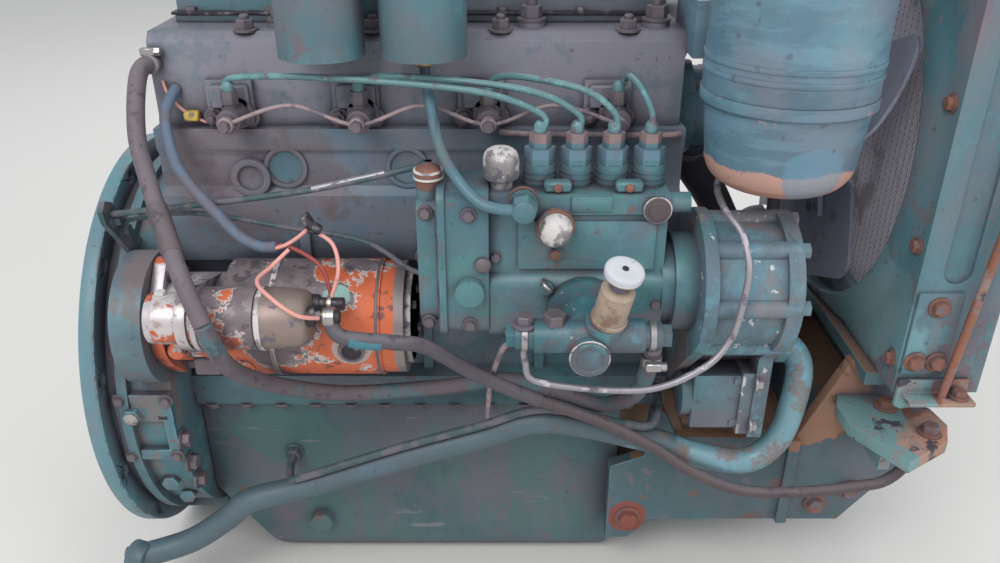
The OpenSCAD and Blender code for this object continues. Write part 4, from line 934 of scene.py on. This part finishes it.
HOSE = [(88, -120, 350), (80, -142, 344), (84, -180, 300), (98, -207, 262), (120, -245, 232),
        (142, -283, 206), (160, -301, 170), (170, -293, 128), (181, -262, 92), (204, -224, 56),
        (256, -193, 28), (349, -185, 30), (421, -185, 39), (473, -190, 27), (514, -200, 19),
        (540, -230, 50), (545, -264, 95), (544, -290, 142)]
hose = Piece("fuel_supply_hose").paint("hose").tube(HOSE[:7], 8, steps=8)
hose.paint("hose_teal").tube(HOSE[6:], 8.2, steps=8)
hose.paint("sleeve").tube([(108, -225, 247), (120, -245, 232), (131, -264, 219)], 9.2)
hose.paint("steel").band((544, -288, 128), UP, 8, 8, screw=RIGHT)
hose.band((86, -126, 350), LEFT, 8, 8, screw=UP)
hose.finish("rubber", ["fuel_hose"])

rods = Piece("controls").paint("dark_pipe")
rods.tube([(44, -180, 221), (230, -198, 251), (347, -200, 278)], 3)
rods.tube([(44, -166, 208), (120, -178, 222), (212, -184, 209), (283, -192, 199), (325, -203, 176),
           (338, -205, 172)], 2.5)
rods.paint("silver_pipe").tube([(241, -198.4, 253.4), (271, -198.9, 260.3), (308, -199.4, 269)], 3.4)
rods.paint("dark_pipe")
lean = Matrix.Rotation(math.radians(39.2), 3, "X")
rods.hull([lean @ Vector((x, sign * half, z)) for x in (39, 44) for sign in (-1, 1)
           for z, half in ((208, 12), (288, 12), (300, 6))])
rods.bolts([lean @ Vector((44, 0, height)) for height in (255, 276)], FORWARD, 11, 6)
rods.turned([(0, 5), (22, 5), (24, 3.5)], (347, -200, 257), UP, 20)
rods.turned([(0, 8), (6, 8), (7, 7)], (347, -200, 274), UP, 20)
rods.finish("rusty_steel", ["control_rods"])

loom = Piece("starter_wiring").paint("loom")
loom.tube([(104, -120, 326), (100, -148, 308), (108, -168, 276), (124, -186, 257), (148, -201, 236),
           (171, -209, 213), (192, -217, 205), (208, -222, 207)], 5.2, steps=8)
loom.paint("red").tube([(204, -221, 207), (222, -225, 208), (250, -236, 194), (259, -244, 166)], 2)
loom.paint("pink").tube([(200, -220, 204), (213, -225, 208), (227, -226, 216), (243, -226, 229)], 1.8)
loom.tube([(221, -228, 207), (207, -240, 196), (199, -262, 192), (217, -284, 186), (237, -287, 172),
           (252, -274, 162)], 1.9, steps=8)
loom.tube([(244, -226, 225), (261, -229, 213), (266, -238, 192), (259, -245, 168)], 1.9, steps=8)
loom.tube([(92, -119, 332), (98, -127, 322), (107, -127, 309), (114, -125, 302)], 1.5)
loom.tube([(118, -125, 300), (128, -126, 295), (137, -124, 293)], 1.5)
loom.paint("black").tube([(236, -227, 237), (243, -228, 231), (250, -226, 225)], 5)
loom.tube([(238, -224, 240), (244, -226, 230), (243, -230, 224)], 3.4)
loom.paint("yellow").slab((110, -131, 296), (124, -120.5, 305), 1.5)
loom.finish("loom", ["wiring"])

CABLE = [(261, -268, 154), (272, -273, 142), (318, -272, 136), (345, -258, 122), (392, -238, 78),
         (450, -231, 45), (510, -231, 20), (563, -231, -10), (607, -230, -43), (662, -227, -70),
         (725, -226, -74), (784, -224, -68), (814, -222, -62), (833, -219, -40), (836, -214, -4.3)]
cable = Piece("battery_lead").paint("cable").tube(CABLE[:6], 7, steps=8)
cable.paint("sleeve").tube(CABLE[5:], 5.8, steps=8)
cable.paint("tape").tube([(278, -273, 140), (292, -273.4, 138), (306, -273, 137)], 7.7)
cable.paint("steel").turned([(-3, 9), (3, 9), (3.4, 8.4)], (262, -267.8, 160), FORWARD, 24)
cable.bolt((836, -214, -4.3), DOWN, 13, 6)
cable.finish("rubber", ["battery_cable"])

lines = Piece("injection_lines").paint("green_pipe")
for element, injector in zip(ELEMENTS, INJECTORS):
    start = Vector((element, ELEMENT_Y, 310))
    end = Vector((injector, -150, 331))
    run = end.x - start.x
    lines.tube([start, start + Vector((0, 0, 16)), start + Vector((run * 0.2 - 4, 8, 34)),
                start + Vector((run * 0.7, 30, 40)), end + Vector((6, -2, 12)), end], 3, steps=8)
    for foot, height in ((start, 7), (end, 6)):
        lines.turned([(-1, 5.6), (height, 5.6), (height + 3, 3.4)], foot, UP, 16)
lines.finish("blue_paint", ["injector_pipes"])

BANJO = [(-5, 6.4), (-4.4, 7.2), (4.4, 7.2), (5, 6.4)]
leak = Piece("leak_off_line").paint("thin_pipe")
leak.tube([(INJECTORS[0] + PITCH / 2 * i, -171, 305 + (i % 2) * 18) for i in range(7)], 1.9, steps=8)
for x in INJECTORS:
    leak.paint("thin_pipe").turned(BANJO, (x, -171, 305), RIGHT, 24)
    leak.paint("iron").turned([(5, 5.9), (9.6, 5.9), (11, 5)], (x, -171, 305), RIGHT, 6, spin=x)
leak.paint("thin_pipe").tube([(411, -137, 288), (440, -141, 287), (560, -141, 286), (582, -137, 286)], 3)
leak.finish("bare_iron", ["leak_off_pipe"])

# Hoses of the cooling system and the intake: each one's route and radius

HOSES = {
    "upper_hose": ([(634, 0, 357), (654, 0, 361), (682, 0, 411), (705, 0, 505), (745, 0, 531),
                    (775, 0, 533)], 26),
    "lower_hose": ([(773, 130, 83), (751, 130, 83), (725, 110, 80), (703, 98, 92), (671, 76, 146),
                    (633, 55, 201.7), (633, 43, 222.5)], 21),
    "intake_pipe": ([(654, -110, 475), (654, -80, 477), (634, 0, 487), (579, 40, 487), (514.5, 134, 471),
                     (512.5, 164, 435), (512.5, 164, 419)], 26),
}
CLIP_IN = 9
for name, (route, radius) in HOSES.items():
    hose = Piece(name + "_rubber").paint("rubber").tube(route, radius, sides=32, steps=8)
    hose.paint("steel")
    beside = Vector(RIGHT if name == "upper_hose" else BACK)
    for end, inner in ((0, 1), (-1, -2)):
        way = (Vector(route[inner]) - Vector(route[end])).normalized()
        hose.band(Vector(route[end]) + way * CLIP_IN, way, radius, 10, screw=way.cross(beside))
    hose.finish("rubber", [name])

# Injection pump and feed pump

pump = Piece("pump_fittings")
pump.paint("silver")
pump.turned([(0, 10), (8, 10), (9, 14.6), (11, 15.9), (27, 15.9), (30.5, 15), (33.4, 13.2), (35.6, 9.8),
             (37.2, 4.6), (37.6, 0.5)], (412, -215, 262), UP, 48)
pump.turned([(-6, 14.6), (3, 14.6), (6, 14), (10, 12), (13, 8), (14.4, 3), (14.6, 0.5)],
            (459, -253, 237), RIGHT, 48)
pump.paint("valves")
for element in ELEMENTS:
    for z in (267, 272, 277):
        pump.turned([(-1.2, 13.8), (-0.9, 14.8), (0.9, 14.8), (1.2, 13.8)], (element, ELEMENT_Y, z), UP, 32)
pump.paint("rust")
pump.turned([(0, 15.6), (1, 17), (6, 17), (7, 15.6)], (459, -244, 237), RIGHT)
pump.turned([(0, 11.4), (8, 11.4), (9, 12.4), (14, 12.4), (18, 10.5), (20.6, 6), (21.4, 0.5)],
            (*GOVERNOR_CAP, 265), UP)
pump.paint("chalk")
for height in (273, 279):
    pump.turned([(0, 12.2), (0.4, 12.9), (2, 12.9), (2.4, 12.2)], (*GOVERNOR_CAP, height), UP)
pump.paint("silver").turned([(-0.6, 17.2), (0.3, 17.6), (0.8, 17)], FEED_CAP, RIGHT, 40)
pump.paint("feed").turned([(0, 16.2), (2.6, 16), (3.4, 15), (3.4, 12), (2.4, 11)], FEED_CAP, RIGHT, 40)
for x in (461, 523):
    pump.paint("pump").slab((x - 12, -234, 263), (x + 12, -222, 273), 2)
    pump.paint("rust").turned([(0, 3.6), (1.6, 3.6), (2.2, 2.8)], (x, -234, 268), RIGHT, 20)
pump.turned([(0, 5), (2.4, 5), (3, 4)], (460, -243, 209), RIGHT, 20)
pump.paint("silver").turned([(-0.4, 12.2), (0.8, 12.5), (1.4, 11.6)], PUMP_PLUG, RIGHT, 40)
pump.paint("sleeve").turned([(0.4, 11.4), (2.6, 11.2), (3, 8), (3.8, 7.6), (4, 3)], PUMP_PLUG, RIGHT, 40)
pump.paint("iron")
pump.turned([(0, 7), (4, 7), (5.5, 5)], (396, -246, 201), RIGHT)
pump.bolt((458, -290, 167), UP, 18, 9, washer=0)
pump.bolt((432, -290, 165), UP, 14, 8)
pump.bolts([(334, -141, 159), (334, -141, 132)], RIGHT, 12, 6)
pump.bolts([(407, -235, 250), (407, -235, 203), (552, -244, 160), (419, -244, 132), (536, -244, 132)],
           RIGHT, 8, 4, washer=0)
pump.bolts([(346, -240, 248), (384, -246, 248), (346, -240, 140), (384, -246, 140)], RIGHT, 9, 4)
pump.paint("steel")
for x in (432, 542):
    pump.turned([(-3, 12.6), (-2.4, 13.4), (2.4, 13.4), (3, 12.6)], (x, *FEED_PUMP), FORWARD)
pump.tube([(450, -243, 184), (450, -251, 184), (454, -254, 180), (457, -250, 176), (457, -243, 175)], 2)
pump.turned([(0, 4.6), (6, 4.6), (7.4, 3)], (364, -176, 116), RIGHT, 16)
pump.paint("bracket").slab((352, -176, 112), (384, -134, 119), 1)
pump.slab((352, -140, 96), (384, -134, 119), 1)
pump.paint("thin_pipe")
pump.tube([(426, -286, 146), (415, -272, 132), (409, -250, 104), (403, -220, 66), (400, -209, 38),
           (398, -206, 8)], 2.6)
pump.finish("bare_steel")

LEAN = math.radians(18)
rise = (0.14, -math.sin(LEAN), math.cos(LEAN))
primer = Piece("hand_primer").paint("primer")
primer.turned([(19, 15), (21, 16), (24, 16), (25, 14), (27, 14.6), (52, 14.6), (54, 14), (56, 14.6),
               (58, 13), (60, 9)], PRIMER_SEAT, rise)
primer.paint("rust").turned([(58, 8), (68, 8), (69, 12), (72, 15), (73.6, 15.4)], PRIMER_SEAT, rise)
primer.paint("pale").turned([(73, 14.8), (74, 16.2), (78, 16.6), (80, 16), (81.4, 14), (81.8, 12),
                             (81.2, 5)], PRIMER_SEAT, rise, 40)
primer.paint("black").turned([(81, 2.8), (82, 2.6), (82.1, 0.5)], PRIMER_SEAT, rise)
primer.finish("primer_parts", ["primer"])

# Starter

starter = Piece("starter_fittings").paint("silver")
starter.band((196, *STARTER), FORWARD, 57.5, 5, 1)
starter.band((322, *STARTER), FORWARD, 43.5, 8, 3)
starter.paint("iron").band((295, *STARTER), FORWARD, 57.5, 2.6, 0.8)
for y in STUD_YS:
    starter.paint("steel").bolt((257, y, 160), FORWARD, 11, 5)
    starter.paint("brass").turned([(-1, 8), (1.4, 8)], (256, y, 160), FORWARD, 20)
starter.paint("iron").bolts([(91, -180, 162), (91, -180, 62)], FORWARD, 17, 10, stud=5)
starter.bolts(circle(STARTER, 326, 30, (40, 130, 220, 310)), FORWARD, 8, 4, washer=0)
starter.turned([(0, 12.6), (4.4, 12.2), (5, 11.4), (5, 9.6), (2.4, 9)], SIGHT_PLUG, SIGHT_WAY, 28)
starter.slab((112, -219, 66), (138, -200, 86), 2)
# Black disc inside the port: painted shade in the hole
starter.paint("black").turned([(1.4, 9.2), (2.8, 9)], SIGHT_PLUG, SIGHT_WAY, 28)
starter.paint("chalk").turned([(-1, 15), (1, 15), (1.6, 13.6)], SIGHT_PLUG, SIGHT_WAY, 28)
starter.slab((115, -226, 92), (127, -220, 108), 1)
starter.bolt((110, -256, 174), UP, 9, 4)
starter.paint("orange_flakes")
starter.turned([(-3, 9), (5, 9), (7.4, 7), (8, 4)], (101, -221, 98), RIGHT, 24)
starter.turned([(-3, 12), (1.6, 12), (2.6, 10)], (163, -229, 84), (0, -0.87, -0.49), 28)
starter.finish("orange_paint")

solenoid = Piece("starter_solenoid_body").paint("nose")
solenoid.turned([(-2, 0.5), (-1.4, 12), (0.6, 19), (4, 22.6), (8, 23.6), (38, 23.6), (39, 26), (43, 26.6),
                 (44, 25)], (98, *SOLENOID), FORWARD, 48)
solenoid.paint("orange")
solenoid.turned([(43, 29), (44, 30), (48, 30), (49, 28.4), (97, 28.4), (98, 27)],
                (98, *SOLENOID), FORWARD, 48)
solenoid.paint("silver").band((199, *SOLENOID), FORWARD, 28, 5, 1.4)
solenoid.paint("cover")
solenoid.turned([(102, 27.4), (104, 28), (112, 27.8), (128, 27), (138, 25.6), (142, 23), (144, 18),
                 (144.6, 0.5)], (98, -256.8, 153), FORWARD, 48)
solenoid.paint("black")
for y in STUD_YS:
    solenoid.turned([(0, 9.4), (6, 9), (7, 8)], (241, y, 160), FORWARD, 24)
    solenoid.turned([(0, 6), (22, 6), (23, 5)], (247, y, 160), FORWARD, 20)
solenoid.finish("orange_paint", ["starter_solenoid"])

# Bell housing, gearbox side and clutch

bell = Piece("bell_fittings").paint("iron")
bell.bolts(circle(CRANK, 79, 205, (186, 196, 206)), FORWARD, 15, 8)
bell.bolts(product((29, 76), [-214.6], (-35, 34)), RIGHT, 9, 4)
bell.paint("steel").turned([(0, 7), (2, 7), (2.6, 6)], (41, -224, 18), RIGHT, 24)
bell.paint("black").slab((64, -215.4, 10), (74, -213, 15), 0.8)
bell.finish("bare_iron")

clutch = Piece("clutch_fittings", "crank").paint("rust")
for at in circle(CRANK, 10.5, 96, range(20, 380, 40)):
    clutch.turned([(0, 14), (3.4, 14), (5, 12), (5.4, 4)], at, BACK, 20)
clutch.paint("iron").bolts(circle(CRANK, 26, 140, range(0, 360, 60)), BACK, 13, 6)
LEVER = [(8, -6, 24), (8, 6, 24), (4, -5, 24), (4, 5, 24), (14, -8, 72), (14, 8, 72), (9, -7, 70),
         (9, 7, 70)]
for angle in (0, 120, 240):
    turn = Matrix.Rotation(math.radians(angle), 3, "X")
    clutch.hull([turn @ Vector(p) for p in LEVER])
clutch.bolt((729, 0, 0), FORWARD, 36, 14, washer=3)
clutch.finish("bare_iron")

# Head, covers and manifolds

top = Piece("head_fittings").paint("iron")
for x in CYLINDERS:
    top.bolts(product([x + 47.5], (-86, 86), [383]), UP, 18, 12, stud=6)
    top.bolts(product([x + 18], (-108, 108), [377]), UP, 15, 9, stud=4)
top.bolts(product(range(110, 570, 76), (-63, 63), [385]), UP, 9, 4)
for x in INJECTORS:
    top.paint("iron").bolts([(x - 24, -127, 300), (x + 10, -127, 300)], RIGHT, 12, 7, stud=5)
    top.paint("head").slab((x - 24, -133, 309), (x + 12, -126.5, 331), 1.6)
top.paint("steel").bolts([(139, -127, 297), (152, -127, 297)], RIGHT, 8, 4)
top.paint("black").slab((92, -70, 384), (574, 70, 387), 0.8)
top.finish("bare_iron")

side = Piece("left_side_fittings").paint("rust")
for x in CYLINDERS:
    side.bolts([(x, 129, 297), (x + 44, 129, 325)], LEFT, 10, 6, washer=0, stud=5)
    side.bolts([(x - 39, 128, 362), (x - 1, 128, 362)], LEFT, 12, 6, stud=4)
side.band((*OIL_FILTER, 150), UP, 42, 8, 1)
side.turned([(0, 30), (6, 36), (8, 42)], (*OIL_FILTER, 36), UP, 40)
side.bolt((*OIL_FILTER, 37), DOWN, 19, 8, washer=0)
side.paint("iron")
side.band((560, *DYNAMO), FORWARD, 58, 26, 1.4, screw=(0, 0.6, 1))
side.band((676, *DYNAMO), FORWARD, 58, 6, 1.2)
side.paint("brass").bolts([(517, 182, 250), (517, 214, 250)], BACK, 9, 5, stud=7)
side.paint("iron").bolts(circle(DYNAMO, 517, 50, (30, 210)), BACK, 9, 5)
side.slab((560, 132, 262), (582, 196, 269), 1)
side.bolt((571, 150, 269), UP, 12, 6)
side.bolts(circle(FAN, 615, 44, range(15, 375, 60)), FORWARD, 9, 4, washer=0)
side.paint("steel").tube([(452, 134, 40), (452, 146, 48), (452, 150, 80), (452, 152, 236)], 3.4)
side.tube([(452, 152, 236), (452, 152, 246), (445, 152, 256), (452, 152, 265), (459, 152, 256),
           (452, 152, 246)], 1.6)
side.finish("rusty_steel")

# Sump, timing case and front support

low = Piece("lower_fittings").paint("iron")
low.bolts(product(range(96, 590, 38), (-146, 146), [-14]), DOWN, 12, 6)
low.paint("steel").bolts([(676, -150, 78), (662, -220, 58), (662, -220, 8)], FORWARD, 11, 6)
low.paint("rust").bolts(product((812, 850), (-190, 190), [46]), DOWN, 16, 9)
for out, way in ((-1, RIGHT), (1, LEFT)):
    low.bolts([(801, out * 243, 98), (821, out * 243, 98), (811, out * 243, 156)], way, 13, 6)
    low.bolts([(806, out * 167, -120), (770, out * 167, -140)], way, 16, 8)
    low.bolts([(812, out * 192, 10), (838, out * 236, 10)], UP, 15, 8)
    low.bolt((846, out * 252, 64), UP, 12, 6)
    low.turned([(-1, 14.5), (1.6, 14.5), (2, 13)], (558, out * 167, -161), way, 28)
low.finish("rusty_steel")

# Radiator, shroud and fan

cooling = Piece("radiator_fittings").paint("rust")
cooling.bolts(product([788], (-226, 226), (92, 210, 340, 468)), BACK, 11, 5)
cooling.bolts(product([870], (-222.61, 222.61), (120, 220, 320, 420, 486)), FORWARD, 10, 4)
cooling.paint("steel")
for x in (863, 798):
    cooling.slab((x - 3.6, -236, 494), (x + 3.6, 236, 498), 1)
cooling.tube([(831, 26, 589), (831, 60, 582), (834, 200, 577), (836, 236, 566), (838, 244, 540),
              (838, 245, 130)], 3.4)
cooling.paint("brass").turned([(0, 8), (7, 8), (7, 5), (16, 5), (17, 3)], (830, -150, 66), DOWN, 20)
cooling.paint("shroud").slab((868, -206, 296), (873, 206, 302), 1)
cooling.finish("rusty_steel")

fan = Piece("fan_rivets", "fan").paint("iron")
for angle, y, z in product((70, 160, 250, 340), (-10, 10), (88, 110)):
    turn = Matrix.Rotation(math.radians(angle), 3, "X")
    fan.turned([(-1, 5), (1, 5), (2.4, 3.6), (2.9, 0.5)], Vector((766, *FAN)) + turn @ Vector((-7, y, z)),
               BACK, 16)
fan.turned([(0, 36), (1.6, 36), (2, 35)], (758.6, *FAN), BACK, 40)
fan.finish("bare_iron")

# Floor and light

FLOOR_REACH = 20
FLOOR_GAP = 0.001
SKY = (0.92, 0.95, 1.0, 1.0)
SKY_STRENGTH = 0.75
floor_mesh = bpy.data.meshes.new("floor")
floor_mesh.from_pydata([(x * FLOOR_REACH, y * FLOOR_REACH, cad_low.z - FLOOR_GAP)
                        for x, y in ((-1, -1), (1, -1), (1, 1), (-1, 1))], [], [(0, 1, 2, 3)])
floor = bpy.data.objects.new("floor", floor_mesh)
Shader("floor", (214, 212, 208), 0.9, specular=0.1).done(bump=0.0)
floor.data.materials.append(MATERIAL["floor"])
scene.collection.objects.link(floor)

world = bpy.data.worlds.new("studio")
world.use_nodes = True
background = world.node_tree.nodes["Background"]
background.inputs["Color"].default_value = SKY
background.inputs["Strength"].default_value = SKY_STRENGTH
scene.world = world

SOFTBOX_SIZE = 1.6
AIM = Vector((0.4, 0, 0.15))


def softbox(name, at, watts):
    """A square lamp that looks at the middle of the unit."""
    data = bpy.data.lights.new(name, "AREA")
    data.size = SOFTBOX_SIZE
    data.energy = watts
    lamp = bpy.data.objects.new(name, data)
    lamp.location = at
    lamp.rotation_euler = (AIM - Vector(at)).to_track_quat("-Z", "Y").to_euler()
    scene.collection.objects.link(lamp)


softbox("key", (-0.6, -2.2, 2.4), 55)
softbox("fill", (2.4, -1.6, 1.2), 18)
softbox("back", (0.5, 2.4, 2.2), 30)
